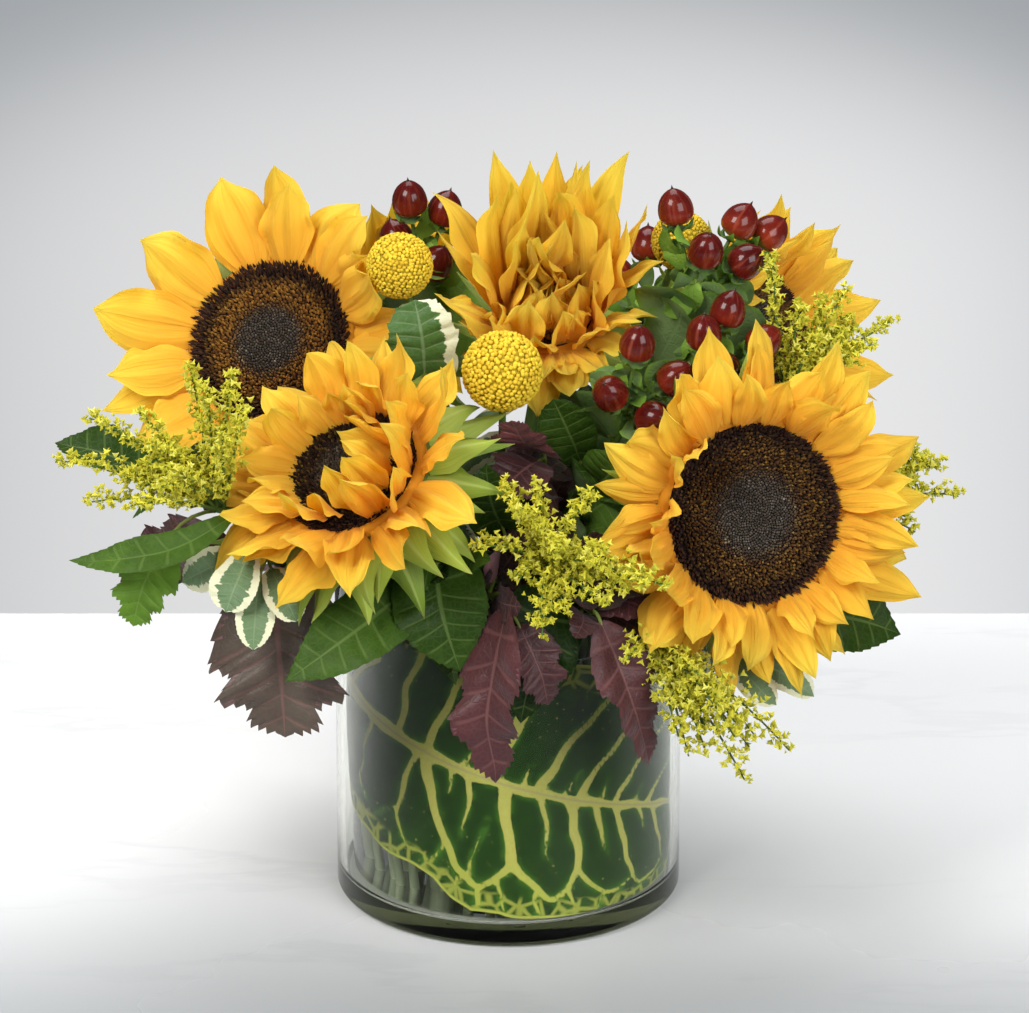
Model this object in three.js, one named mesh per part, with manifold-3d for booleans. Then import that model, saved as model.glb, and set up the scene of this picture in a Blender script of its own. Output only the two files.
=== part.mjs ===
// Sunflowers in a vase: six sunflowers with yellow button flowers, red berries, goldenrod and
// mixed leaves, standing in water in a clear glass cylinder that a large leaf lines.
// Millimetres, +Z up, the origin at the middle of the vase's foot, the front towards -Y.
import * as THREE from "three";
import { mergeVertices } from "three/addons/utils/BufferGeometryUtils.js";
import Module from "manifold-3d";

const wasm = await Module();
wasm.setup();

// Clearances: between pieces that touch, between blades of one flower, round a stem in the
// water, and between stems
const gap = 0.3;
const bladeGap = 0.05;
const holeGap = 0.35;
const stemSpacing = 1.2;

// How far a blade, stalk or sprig is bent, shortened and narrowed at most to clear its neighbours
const bending = {
  tries: 30, lift: 60, curl: 90, sway: 1.2, shorter: 0.35, narrower: 0.3,
  bractLift: -45, bractCurl: -20, leafTip: 46, berry: 26, sprigTip: 50,
};

// Vase and water
const vaseHeight = 127;
const vaseRadius = 63.5;
const vaseWall = 3;
const vaseFloor = 8;
const footRound = 2.5;
const rimRound = 1;
const innerRound = 2;
const vaseSides = 32;
const waterLevel = 108;
const waterRadius = 57;

// Lining leaves: run of the midrib round the wall, its height at both ends, and the half width
const liningRadius = vaseRadius - vaseWall - 0.7;
const liningThickness = 0.8;
const liningLeaves = [
  { name: "lining_leaf_front", turns: [-112, 124], heights: [101, 22], half: 50, stations: 14 },
  { name: "lining_leaf_back", turns: [126, 236], heights: [78, 64], half: 40, stations: 7 },
];

// Sunflower heads. The disc's top is at z 0 of the head, which faces +Z before it is turned.
const discDepth = 3;
const discDome = 3.5;
const discRelief = 0.7;
const ringWidth = 3.4;
const ringTop = 0.9;
const cupDepth = 15;
const cupNeck = 5.2;
const cupLip = 1.6;
const cupSides = 8;
const flowerStemRadius = 4;
const petalRootHeight = -0.7;
const rowSpacing = 1.5;
const bladeCupping = 0.12;
const petalHalfThickness = 0.5;
const rootHalfThickness = 0.38;

// Every head: the place of its disc, how far it is turned from the front to the right and how
// far it looks up, in degrees, its disc's radius, where its stem stands in the vase's mouth, the
// side its petals are longest on and by what share, its rows of petals from the inner one
// outwards, raised by slant degrees more at the head's upper side, and its green bracts
const sunflowers = [
  {
    name: "sunflower_left_back", seed: 11, at: [-87, 10, 209], turn: -22, tilt: 37, disc: 28,
    mouth: [-36, 6], skew: [170, 0.13],
    rows: [
      { count: 12, length: 37, width: 17.5, lift: 32, curl: -14 },
      { count: 11, length: 39, width: 19, lift: 10, curl: -8 },
    ],
    bracts: { count: 8, length: 26, width: 11, lift: -24, curl: 14 },
  },
  {
    name: "sunflower_left_front", seed: 23, at: [-57, -62, 187], turn: -35, tilt: 50, disc: 25,
    mouth: [-27, -24], skew: [0, 0],
    rows: [
      { count: 9, length: 29, width: 15, lift: 92, curl: 56 },
      { count: 11, length: 37, width: 17, lift: 48, curl: 38 },
    ],
    bracts: { count: 13, length: 34, width: 12, lift: 2, curl: -10 },
  },
  {
    name: "sunflower_right_front", seed: 37, at: [88, -62, 169], turn: 20, tilt: 15, disc: 32,
    mouth: [34, -20], skew: [0, 0.04],
    rows: [
      { count: 12, length: 31, width: 18, lift: 36, curl: -20 },
      { count: 12, length: 33, width: 19, lift: 12, curl: -14 },
    ],
    bracts: { count: 8, length: 24, width: 11, lift: -26, curl: 10 },
  },
  {
    name: "sunflower_top", seed: 41, at: [14, 6, 222], turn: 0, tilt: 62, disc: 16,
    mouth: [4, 4], skew: [90, 0.12],
    rows: [
      { count: 6, length: 27, width: 13, lift: 92, curl: 16, slant: 4 },
      { count: 8, length: 36, width: 14, lift: 76, curl: -16, slant: 8 },
      { count: 10, length: 39, width: 16, lift: 54, curl: -26, slant: 14 },
    ],
    bracts: { count: 8, length: 22, width: 10, lift: -12, curl: 8 },
  },
  {
    name: "sunflower_right_back", seed: 59, at: [94, 55, 199], turn: 57, tilt: 33, disc: 24,
    mouth: [32, 24], skew: [90, 0.06],
    rows: [
      { count: 9, length: 32, width: 17, lift: 60, curl: -8 },
      { count: 10, length: 36, width: 18, lift: 34, curl: -10 },
    ],
    bracts: { count: 8, length: 24, width: 11, lift: -20, curl: 12 },
  },
  {
    name: "sunflower_back", seed: 67, at: [-50, 84, 186], turn: -160, tilt: 28, disc: 27,
    mouth: [-20, 30], skew: [0, 0],
    rows: [
      { count: 9, length: 32, width: 20, lift: 34, curl: -12 },
      { count: 10, length: 35, width: 20, lift: 10, curl: -10 },
    ],
    bracts: { count: 8, length: 25, width: 11, lift: -24, curl: 12 },
  },
];

// Button flowers: place and radius of the ball, way its stem comes in, place in the mouth
const buttonStemRadius = 1.3;
const sprayStemRadius = 1.7;
const sprayTipRadius = 1.2;
const knotRadius = 3;

// A stem's foot stands this share of its place in the mouth from the middle of the vase's floor
const footSpread = 0.72;
const flowerStemSides = 6;
const sprayStemSides = 4;
const buttonFlowers = [
  { name: "button_flower_left", at: [-39, 0, 241], radius: 12, lean: [-0.25, -0.1, 1], mouth: [-16, 2] },
  { name: "button_flower_front", at: [-2, -42, 216], radius: 14.5, lean: [0, -0.45, 1], mouth: [-3, -20] },
  { name: "button_flower_right", at: [63, 27, 241], radius: 11, lean: [0.35, 0.1, 1], mouth: [20, 12] },
  { name: "button_flower_back", at: [16, 72, 214], radius: 12.5, lean: [0.1, 0.6, 1], mouth: [6, 34] },
];

// Berry sprays: end of the stem, berries by their middle, small leaves by their tip
const berryLength = 13.5;
const berryRadius = 5.9;
const berryLeafHalf = 5.5;
const berrySides = 5;
const berryProfile = [[-0.5, 0.15], [-0.2, 0.95], [0.22, 0.95], [0.5, 0]];
const berrySprays = [
  {
    name: "berry_spray_left", mouth: [-14, 16], end: [-33, 42, 212], aim: [-0.2, 0.1, 1],
    berries: [[-36, 40, 253], [-23, 46, 247], [-41, 46, 236], [-26, 38, 229]],
    leaves: [[-48, 34, 232], [-14, 50, 224], [-38, 62, 222]],
  },
  {
    name: "berry_spray_right", mouth: [20, -2], end: [66, 2, 226], aim: [0.4, 0, 1],
    berries: [[60, 4, 262], [71, -8, 250], [84, 12, 254], [95, 17, 248], [86, 0, 243]],
    leaves: [[52, -12, 240], [64, -20, 234], [90, -6, 228], [50, 14, 232]],
  },
  {
    name: "berry_spray_front", mouth: [14, -16], end: [42, -36, 196], aim: [0.2, -0.4, 1],
    berries: [[46, -45, 228], [36, -50, 211], [60, -40, 213], [52, -50, 201]],
    leaves: [[26, -46, 202], [60, -34, 196], [28, -30, 206]],
  },
  {
    name: "berry_spray_middle", mouth: [28, -8], end: [70, -22, 202], aim: [0.3, -0.1, 1],
    berries: [[70, -26, 225], [79, -18, 231], [92, -16, 218], [77, -31, 213]],
    leaves: [[56, -24, 214], [88, -34, 210], [92, -6, 204]],
  },
  {
    name: "berry_spray_back", mouth: [22, 38], end: [52, 70, 192], aim: [0.4, 0.5, 1],
    berries: [[52, 84, 220], [66, 80, 214], [40, 86, 208], [64, 92, 198]],
    leaves: [[34, 76, 200], [74, 74, 200], [56, 92, 186]],
  },
];

// Goldenrod sprays: start of the plume and the tips of its sprigs
const sprigRadius = 4.4;
const sprigArch = 5;
const goldenrodSprays = [
  {
    name: "goldenrod_left", mouth: [-46, -14], end: [-104, -54, 168], aim: [-0.8, -0.5, 0.4],
    tips: [[-113, -44, 219], [-130, -60, 207], [-148, -60, 205], [-160, -58, 188],
      [-149, -68, 176], [-122, -78, 186]],
  },
  {
    name: "goldenrod_front", mouth: [8, -36], end: [14, -72, 152], aim: [0.1, -0.8, 0.4],
    tips: [[-6, -78, 194], [30, -92, 188], [56, -104, 158], [-11, -92, 168], [12, -99, 138],
      [34, -106, 152]],
  },
  {
    name: "goldenrod_low", mouth: [28, -42], end: [52, -74, 124], aim: [0.5, -0.8, -0.2],
    tips: [[100, -90, 90], [84, -98, 82], [64, -100, 92], [80, -106, 102]],
  },
  {
    name: "goldenrod_right_top", mouth: [42, 6], end: [100, -10, 190], aim: [0.7, -0.2, 0.7],
    tips: [[94, -4, 247], [139, 6, 218], [122, 0, 232], [126, -10, 208]],
  },
  {
    name: "goldenrod_right", mouth: [50, -4], end: [126, -6, 146], aim: [1, -0.1, 0.2],
    tips: [[164, 0, 152], [149, 6, 168], [148, -10, 142], [158, 12, 160]],
  },
  {
    name: "goldenrod_back", mouth: [6, 48], end: [20, 80, 158], aim: [0.1, 0.8, 0.5],
    tips: [[18, 100, 206], [40, 98, 200], [50, 112, 172], [10, 116, 172]],
  },
];

// Leaf outlines: along the blade, half width as a share of the widest, and how far that point of
// the edge is drawn towards the tip
const outlines = {
  oval: [[0, 0.2, 0], [0.3, 0.95, 0], [0.65, 0.85, 0], [1, 0, 0]],
  lance: [[0, 0.2, 0], [0.25, 0.85, 0], [0.55, 1, 0], [0.8, 0.6, 0], [1, 0, 0]],
  small: [[0, 0.25, 0], [0.45, 1, 0], [1, 0, 0]],
  heart: [[0, 0.3, 0], [0.1, 0.92, -0.04], [0.28, 0.84, 0], [0.36, 1, 0.02], [0.56, 0.66, 0],
    [0.64, 0.72, 0.02], [1, 0, 0]],
  lobed: [[0, 0.15, 0], [0.14, 0.62, 0], [0.34, 1, 0.1], [0.42, 0.55, 0], [0.58, 0.78, 0.08],
    [0.68, 0.4, 0], [1, 0, 0]],
  scalloped: [[0, 0.3, 0], [0.14, 0.88, 0], [0.26, 0.74, 0], [0.42, 1, 0], [0.56, 0.78, 0],
    [0.74, 0.72, 0], [1, 0, 0]],
};

// Leafy stems: each leaf from its foot to its tip, the way its upper face looks, half width
const leafThickness = 0.5;
const leafFold = 0.22;
const stalkRadius = 0.8;
const leafyStems = [
  {
    name: "dark_leaves_left", colour: "dark_leaf", outline: "lobed", mouth: [-40, -28],
    end: [-78, -58, 148], aim: [-0.7, -0.6, 0.2],
    leaves: [
      { from: [-84, -66, 146], to: [-80, -87, 94], face: [-0.25, -1, 0.25], half: 27, arch: 5 },
      { from: [-100, -50, 150], to: [-140, -44, 138], face: [-0.2, -0.6, 1], half: 17, arch: 5 },
    ],
  },
  {
    name: "dark_leaves_front", colour: "dark_leaf", outline: "lobed", mouth: [-8, -44],
    end: [-7, -68, 140], aim: [0, -0.9, 0.3],
    leaves: [
      { from: [-8, -78, 138], to: [-8, -90, 78], face: [-0.75, -0.8, 0.1], half: 15, arch: 4 },
      { from: [2, -76, 132], to: [14, -86, 104], face: [0.4, -1, 0.2], half: 9, arch: 2 },
    ],
  },
  {
    name: "dark_leaves_right", colour: "dark_leaf", outline: "lobed", mouth: [16, -44],
    end: [30, -68, 134], aim: [0.3, -0.9, 0.1],
    leaves: [
      { from: [33, -75, 131], to: [51, -84, 84], face: [0.5, -1, 0.1], half: 13, arch: 4 },
    ],
  },
  {
    name: "dark_leaves_inner", colour: "dark_leaf", outline: "lobed", mouth: [4, -10],
    end: [12, -32, 178], aim: [0, -0.6, 0.8],
    leaves: [
      { from: [12, -38, 184], to: [0, -56, 200], face: [-0.3, -0.6, -0.5], half: 13, arch: 2 },
      { from: [11, -40, 181], to: [-4, -60, 174], face: [0, -0.6, 1], half: 12, arch: 3 },
    ],
  },
  {
    name: "dark_leaves_back", colour: "dark_leaf", outline: "lobed", mouth: [-34, 34],
    end: [-78, 66, 144], aim: [-0.6, 0.7, 0.2],
    leaves: [
      { from: [-82, 70, 142], to: [-100, 96, 108], face: [-0.6, 0.8, 0.4], half: 24, arch: 5 },
      { from: [-60, 82, 134], to: [-52, 100, 96], face: [0, 1, 0.3], half: 20, arch: 4 },
    ],
  },
  {
    name: "green_leaves_front", colour: "green_leaf", outline: "heart", mouth: [-17, -38],
    end: [-22, -62, 146], aim: [-0.1, -0.8, 0.4],
    leaves: [
      { from: [-24, -70, 150], to: [-12, -92, 114], face: [-0.1, -0.8, 0.7], half: 20, arch: 5 },
      { from: [-38, -70, 140], to: [-79, -88, 118], face: [0, -0.7, 0.8], half: 13, arch: 5 },
    ],
  },
  {
    name: "green_leaves_left", colour: "green_leaf", outline: "lance", mouth: [-50, -2],
    end: [-98, -48, 160], aim: [-0.9, -0.5, 0.2],
    leaves: [
      { from: [-102, -60, 168], to: [-150, -76, 165], face: [0, -0.6, 1], half: 9, arch: 4 },
      { from: [-120, -30, 168], to: [-163, -22, 184], face: [0.1, -0.5, 1], half: 11, arch: 3 },
      { from: [-108, -60, 156], to: [-134, -80, 144], face: [-0.2, -0.8, 0.8], half: 11, arch: 3 },
    ],
  },
  {
    name: "green_leaves_middle", colour: "green_leaf", outline: "heart", mouth: [2, -28],
    end: [4, -50, 150], aim: [0, -0.6, 0.7],
    leaves: [
      { from: [2, -56, 138], to: [10, -74, 110], face: [0.3, -1, 0.5], half: 11, arch: 4 },
      { from: [-2, -56, 162], to: [-8, -62, 188], face: [-0.2, -1, 0], half: 10, arch: 3 },
    ],
  },
  {
    name: "green_leaves_inner", colour: "green_leaf", outline: "oval", mouth: [12, -28],
    end: [30, -34, 170], aim: [0.2, -0.3, 0.9],
    leaves: [
      { from: [30, -42, 172], to: [40, -60, 190], face: [0, -1, 0.2], half: 11, arch: 2 },
      { from: [32, -34, 172], to: [56, -46, 184], face: [0.2, -0.6, 0.8], half: 10, arch: 3 },
      { from: [26, -32, 178], to: [16, -44, 206], face: [0, -1, 0], half: 10, arch: 2 },
    ],
  },
  {
    name: "green_leaves_right", colour: "green_leaf", outline: "heart", mouth: [44, -20],
    end: [92, -30, 122], aim: [0.9, -0.2, -0.1],
    leaves: [
      { from: [100, -34, 120], to: [142, -38, 114], face: [0, -0.7, 0.8], half: 17, arch: 5 },
      { from: [94, -14, 126], to: [128, 14, 128], face: [0.5, 0.1, 1], half: 16, arch: 5 },
    ],
  },
  {
    name: "green_leaves_back", colour: "green_leaf", outline: "heart", mouth: [16, 48],
    end: [34, 80, 144], aim: [0.3, 0.8, 0.2],
    leaves: [
      { from: [34, 86, 142], to: [38, 112, 108], face: [0.1, 0.8, 0.6], half: 20, arch: 5 },
      { from: [54, 80, 144], to: [90, 98, 130], face: [0.4, 0.5, 1], half: 17, arch: 4 },
      { from: [12, 86, 136], to: [-10, 110, 110], face: [-0.2, 0.8, 0.6], half: 18, arch: 4 },
    ],
  },
  {
    name: "green_leaves_left_back", colour: "green_leaf", outline: "heart", mouth: [-48, 16],
    end: [-96, 36, 150], aim: [-0.9, 0.3, 0.2],
    leaves: [
      { from: [-100, 38, 148], to: [-142, 50, 128], face: [-0.5, 0.1, 1], half: 19, arch: 5 },
      { from: [-96, 26, 158], to: [-134, 16, 160], face: [-0.2, -0.2, 1], half: 15, arch: 4 },
    ],
  },
  {
    name: "scalloped_leaf", colour: "edged_leaf", outline: "scalloped", mouth: [-20, -8],
    end: [-30, -20, 204], aim: [-0.1, -0.2, 1],
    leaves: [
      { from: [-30, -22, 210], to: [-34, -22, 236], face: [0.1, -1, 0.2], half: 12, arch: 2 },
    ],
  },
  {
    name: "edged_leaves_left", colour: "edged_leaf", outline: "oval", mouth: [-46, -24],
    end: [-88, -62, 152], aim: [-0.7, -0.7, 0.2],
    leaves: [
      { from: [-94, -68, 156], to: [-116, -74, 150], face: [-0.2, -1, 0.6], half: 7, arch: 1 },
      { from: [-98, -64, 156], to: [-116, -74, 168], face: [-0.3, -1, 0.4], half: 6.5, arch: 1 },
      { from: [-90, -72, 152], to: [-104, -82, 138], face: [-0.3, -1, 0.3], half: 7, arch: 1 },
      { from: [-88, -74, 150], to: [-88, -90, 130], face: [0, -1, 0.4], half: 6.5, arch: 1 },
      { from: [-84, -72, 152], to: [-72, -88, 140], face: [0.2, -1, 0.4], half: 6, arch: 1 },
    ],
  },
  {
    name: "edged_leaves_right", colour: "edged_leaf", outline: "oval", mouth: [38, -34],
    end: [78, -52, 116], aim: [0.7, -0.5, -0.3],
    leaves: [
      { from: [84, -56, 112], to: [110, -60, 99], face: [0, -0.8, 0.8], half: 7, arch: 1 },
      { from: [82, -58, 112], to: [96, -72, 100], face: [0, -0.9, 0.6], half: 6, arch: 1 },
      { from: [84, -50, 114], to: [108, -44, 106], face: [0, -0.4, 1], half: 6.5, arch: 1 },
    ],
  },
  {
    name: "edged_leaves_back", colour: "edged_leaf", outline: "oval", mouth: [44, 30],
    end: [84, 50, 140], aim: [0.7, 0.6, 0.2],
    leaves: [
      { from: [88, 54, 142], to: [112, 60, 146], face: [0.3, 0.5, 1], half: 7.5, arch: 1 },
      { from: [88, 50, 138], to: [112, 42, 128], face: [0.6, 0.2, 1], half: 7.5, arch: 1 },
      { from: [86, 56, 136], to: [100, 76, 124], face: [0.4, 0.8, 0.6], half: 7.5, arch: 1 },
    ],
  },
];

const materials = {
  glass: { color: 0xdfe8e6, roughness: 0.05, metalness: 0 },
  water: { color: 0xcfdcd6, roughness: 0.02, metalness: 0 },
  lining_leaf: { color: 0x2f5a2c, roughness: 0.35, metalness: 0 },
  petal: { color: 0xf5a60c, roughness: 0.6, metalness: 0 },
  seed_disc: { color: 0x2a1a12, roughness: 0.9, metalness: 0 },
  green_stem: { color: 0x5d8a34, roughness: 0.6, metalness: 0 },
  button: { color: 0xd9b310, roughness: 0.9, metalness: 0 },
  berry: { color: 0x6b1420, roughness: 0.2, metalness: 0 },
  goldenrod: { color: 0xc9be1c, roughness: 0.9, metalness: 0 },
  dark_leaf: { color: 0x3d2023, roughness: 0.5, metalness: 0 },
  green_leaf: { color: 0x2f6a2c, roughness: 0.5, metalness: 0 },
  edged_leaf: { color: 0x8fa878, roughness: 0.5, metalness: 0 },
};

const vec = (a) => new THREE.Vector3(a[0], a[1], a[2]);
const radians = THREE.MathUtils.degToRad;

function seeded(seed) {
  let state = seed;
  return () => {
    state = (state + 0x6d2b79f5) | 0;
    let t = Math.imul(state ^ (state >>> 15), 1 | state);
    t = (t + Math.imul(t ^ (t >>> 7), 61 | t)) ^ t;
    return ((t ^ (t >>> 14)) >>> 0) / 4294967296;
  };
}

function solidOf(positions, triangles) {
  return new wasm.Manifold(new wasm.Mesh({
    numProp: 3,
    vertProperties: new Float32Array(positions),
    triVerts: new Uint32Array(triangles),
  }));
}

// A closed three.js geometry as a solid, its seams merged and its empty triangles left out
function geometrySolid(geometry) {
  geometry.deleteAttribute("normal");
  geometry.deleteAttribute("uv");
  const merged = mergeVertices(geometry, 1e-4);
  const index = merged.index.array;
  const triangles = [];
  for (let i = 0; i < index.length; i += 3) {
    const [a, b, c] = [index[i], index[i + 1], index[i + 2]];
    if (a !== b && b !== c && c !== a) triangles.push(a, b, c);
  }
  return solidOf(merged.attributes.position.array, triangles);
}

// A closed surface through rings that each run anticlockwise about the way along. A ring of one
// point closes an end, and the diagonals run from the even points of a ring to the odd ones of
// the next, so that both faces of a blade are split alike.
function loft(rings) {
  const positions = [];
  const starts = rings.map((ring) => {
    const start = positions.length / 3;
    ring.forEach((p) => positions.push(p.x, p.y, p.z));
    return start;
  });
  const triangles = [];
  for (let k = 0; k < rings.length - 1; k++) {
    const [low, high] = [starts[k], starts[k + 1]];
    const count = Math.max(rings[k].length, rings[k + 1].length);
    for (let j = 0; j < count; j++) {
      const next = (j + 1) % count;
      if (rings[k].length === 1) triangles.push(low, high + next, high + j);
      else if (rings[k + 1].length === 1) triangles.push(low + j, low + next, high);
      else if (j % 2 === 0) {
        triangles.push(low + j, low + next, high + next, low + j, high + next, high + j);
      } else {
        triangles.push(low + j, low + next, high + j, low + next, high + next, high + j);
      }
    }
  }
  const last = rings.length - 1;
  for (let j = 1; j < rings[0].length - 1; j++) {
    triangles.push(starts[0], starts[0] + j + 1, starts[0] + j);
  }
  for (let j = 1; j < rings[last].length - 1; j++) {
    triangles.push(starts[last], starts[last] + j, starts[last] + j + 1);
  }
  return solidOf(positions, triangles);
}

// A bar along points, its section carried along without twist. A point has one radius, or two
// that the corners of its section take in turn.
function tube(points, radii, sides) {
  let normal = null;
  const rings = points.map((point, k) => {
    if (radii[k] === 0) return [point];
    const before = points[Math.max(k - 1, 0)];
    const after = points[Math.min(k + 1, points.length - 1)];
    const along = after.clone().sub(before).normalize();
    if (!normal) normal = new THREE.Vector3(1, 0, 0);
    normal = normal.clone().addScaledVector(along, -normal.dot(along)).normalize();
    const side = along.clone().cross(normal);
    return Array.from({ length: sides }, (_, j) => {
      const angle = (2 * Math.PI * j) / sides;
      const radius = Array.isArray(radii[k]) ? radii[k][j % 2] : radii[k];
      return point.clone().addScaledVector(normal, radius * Math.cos(angle))
        .addScaledVector(side, radius * Math.sin(angle));
    });
  });
  return loft(rings);
}

// A petal or leaf blade. At each station it has a flat diamond across it, whose edges may be
// lifted and drawn forward, or on a keeled blade a flat roof, and at the tip one point.
function blade(stations, keeled = false) {
  return loft(stations.map((s) => {
    if (s.half === 0) return [s.at];
    const side = s.face.clone().cross(s.along).normalize();
    const rise = keeled ? -s.thick : s.rise ?? 0;
    const edge = (sign) => s.at.clone().addScaledVector(side, sign * s.half)
      .addScaledVector(s.face, rise).addScaledVector(s.along, s.forward ?? 0);
    const middle = (sign) => s.at.clone().addScaledVector(s.face, sign * s.thick);
    const roof = [edge(1), middle(1), edge(-1)];
    return keeled ? roof : [...roof, middle(-1)];
  }));
}

// Everything placed so far, node by node, with the box of each solid
const nodes = new Map();

function touches(a, b, space) {
  return [0, 1, 2].every((i) => a.min[i] < b.max[i] + space && b.min[i] < a.max[i] + space);
}

// Whether a solid keeps its distance from the other nodes and, if it is a blade that stands
// apart, from the other such blades of its own node
function isClear(name, solid, { space = gap, apart = false } = {}) {
  const box = solid.boundingBox();
  for (const [other, node] of nodes) {
    const least = other === name ? bladeGap : space;
    for (const piece of node.pieces) {
      if (other === name && !(apart && piece.apart)) continue;
      if (!touches(box, piece.box, least)) continue;
      if (solid.minGap(piece.solid, least) < least) return false;
    }
  }
  return true;
}

function place(name, material, solid, apart = false) {
  if (!nodes.has(name)) nodes.set(name, { material, pieces: [] });
  nodes.get(name).pieces.push({ solid, apart, box: solid.boundingBox() });
}

// Places what make returns, bent further at each try, until it is clear of the other nodes
function placeClear(name, material, make, { tries = bending.tries, apart = false } = {}) {
  for (let attempt = 0; attempt < tries; attempt++) {
    const solid = make(attempt / tries);
    if (isClear(name, solid, { apart })) {
      place(name, material, solid, apart);
      return true;
    }
    solid.delete();
  }
  return false;
}

// The vase, its profile turned round the axis
function addVase() {
  const inner = vaseRadius - vaseWall;
  const profile = [
    [0, 0], [vaseRadius - footRound, 0], [vaseRadius, footRound],
    [vaseRadius, vaseHeight - rimRound], [vaseRadius - rimRound, vaseHeight],
    [inner + rimRound, vaseHeight], [inner, vaseHeight - rimRound],
    [inner, vaseFloor + innerRound], [inner - innerRound, vaseFloor], [0, vaseFloor],
  ].map(([r, z]) => new THREE.Vector2(r, z));
  const geometry = new THREE.LatheGeometry(profile, vaseSides);
  geometry.rotateX(Math.PI / 2);
  geometry.rotateZ(Math.PI);
  place("vase", "glass", geometrySolid(geometry));
}

// A lining leaf lies on a cylinder just inside the wall. Its half width follows a long oval.
function addLiningLeaf(leaf) {
  const across = [-1, -0.5, 0, 0.5, 1];
  const [start, end] = leaf.turns.map(radians);
  const run = (end - start) * liningRadius;
  const slope = Math.atan2(leaf.heights[1] - leaf.heights[0], run);
  const length = Math.hypot(run, leaf.heights[1] - leaf.heights[0]);
  const sheet = (radius) => Array.from({ length: leaf.stations + 1 }, (_, k) => {
    const t = k / leaf.stations;
    const half = leaf.half * Math.pow(Math.sin(Math.PI * Math.min(0.04 + t * 0.93, 1)), 0.75);
    return across.map((share) => {
      const along = t * length * Math.cos(slope) - share * half * Math.sin(slope);
      const height = leaf.heights[0] + t * length * Math.sin(slope) + share * half * Math.cos(slope);
      const angle = start + along / liningRadius;
      const low = vaseFloor + innerRound + gap;
      const z = THREE.MathUtils.clamp(height, low, vaseHeight - rimRound);
      return new THREE.Vector3(radius * Math.sin(angle), -radius * Math.cos(angle), z);
    });
  });
  const [outer, inside] = [sheet(liningRadius), sheet(liningRadius - liningThickness)];
  // Each cross section is a closed ring: along the inner face and back along the outer one
  const rings = outer.map((row, k) => [...inside[k], ...row.slice().reverse()]);
  place(leaf.name, "lining_leaf", loft(rings));
}

// Turns a head from facing +Z to the way it looks and puts it in its place
function headMatrix(head) {
  const [turn, tilt] = [radians(head.turn), radians(head.tilt)];
  const face = vec([Math.cos(tilt) * Math.sin(turn), -Math.cos(tilt) * Math.cos(turn), Math.sin(tilt)]);
  const right = vec([Math.cos(turn), Math.sin(turn), 0]);
  const matrix = new THREE.Matrix4().makeBasis(right, face.clone().cross(right), face);
  return { face, matrix: matrix.setPosition(vec(head.at)) };
}

// Widths of a ray along it: a full petal, a plainer one for the rows behind, and a bract
const rayProfiles = {
  petal: [[0, 0.3], [0.35, 0.95], [0.7, 0.82], [1, 0]],
  plain: [[0, 0.3], [0.5, 1], [1, 0]],
  bract: [[0, 0.5], [0.4, 1], [1, 0]],
};
const keeledBlades = ["plain", "bract", "small", "oval"];
const raySteps = 20;

// A ray of the head: it leaves the ring at an angle to the disc and bends evenly along its length
function ray(matrix, r) {
  const radial = vec([Math.cos(r.angle), Math.sin(r.angle), 0]);
  const tangent = vec([-Math.sin(r.angle), Math.cos(r.angle), 0]);
  const up = vec([0, 0, 1]);
  const turnMatrix = new THREE.Matrix4().extractRotation(matrix);
  const at = radial.clone().multiplyScalar(r.radius).addScaledVector(up, r.height);
  const spine = [];
  for (let k = 0; k <= raySteps; k++) {
    const lift = radians(r.lift + (r.curl * k) / raySteps);
    const along = radial.clone().multiplyScalar(Math.cos(lift)).addScaledVector(up, Math.sin(lift))
      .addScaledVector(tangent, r.sway ?? 0).normalize();
    spine.push({ at: at.clone(), along });
    at.addScaledVector(along, r.length / raySteps);
  }
  return blade(rayProfiles[r.profile].map(([t, share]) => {
    const { at: point, along } = spine[Math.round(t * raySteps)];
    const face = along.clone().cross(tangent).negate();
    face.applyAxisAngle(along, radians((r.twist ?? 0) * t)).normalize();
    const thick = t === 0 ? r.rootThick : petalHalfThickness;
    return {
      at: point.clone().applyMatrix4(matrix),
      along: along.clone().applyMatrix4(turnMatrix),
      face: face.applyMatrix4(turnMatrix),
      half: (share * r.width) / 2,
      thick,
      rise: t === 0 ? 0 : r.width * bladeCupping,
    };
  }), keeledBlades.includes(r.profile));
}

function circle(radius, z, count, relief = 0, offset = 0) {
  return Array.from({ length: count }, (_, j) => {
    const angle = (2 * Math.PI * j) / count;
    const step = (j + offset) % 2 === 0 ? relief : -relief;
    return vec([radius * Math.cos(angle), radius * Math.sin(angle), z + step]);
  });
}

function moved(solid, matrix) {
  const result = solid.transform(matrix.elements);
  solid.delete();
  return result;
}

// The seed disc: a low dome whose surface is raised and sunk by turns
function discSolid(radius) {
  const count = 16;
  const rings = [[vec([0, 0, -discDepth])], circle(radius, -discDepth, count)];
  const shares = [1, 0.78, 0.54, 0.3];
  shares.forEach((share, k) => {
    const z = discDome * (1 - share * share) - 0.8;
    rings.push(circle(radius * share, z, count, k > 0 ? discRelief : 0, k));
  });
  rings.push([vec([0, 0, discDome - 1.6])]);
  return loft(rings);
}

// The ring that the petals are rooted in, with a flat side for each petal of the first row
function petalRing(radius, sides) {
  const corner = 1 / Math.cos(Math.PI / sides);
  const [inner, outer] = [(radius + gap) * corner, (radius + ringWidth) * corner];
  const profile = [
    [inner, -discDepth], [outer, -discDepth], [outer, ringTop], [inner, ringTop / 3],
    [inner, -discDepth],
  ].map(([r, z]) => new THREE.Vector2(r, z));
  const geometry = new THREE.LatheGeometry(profile, sides);
  geometry.rotateX(Math.PI / 2);
  geometry.rotateZ(Math.PI / 2 + Math.PI / sides);
  return geometrySolid(geometry);
}

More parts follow.
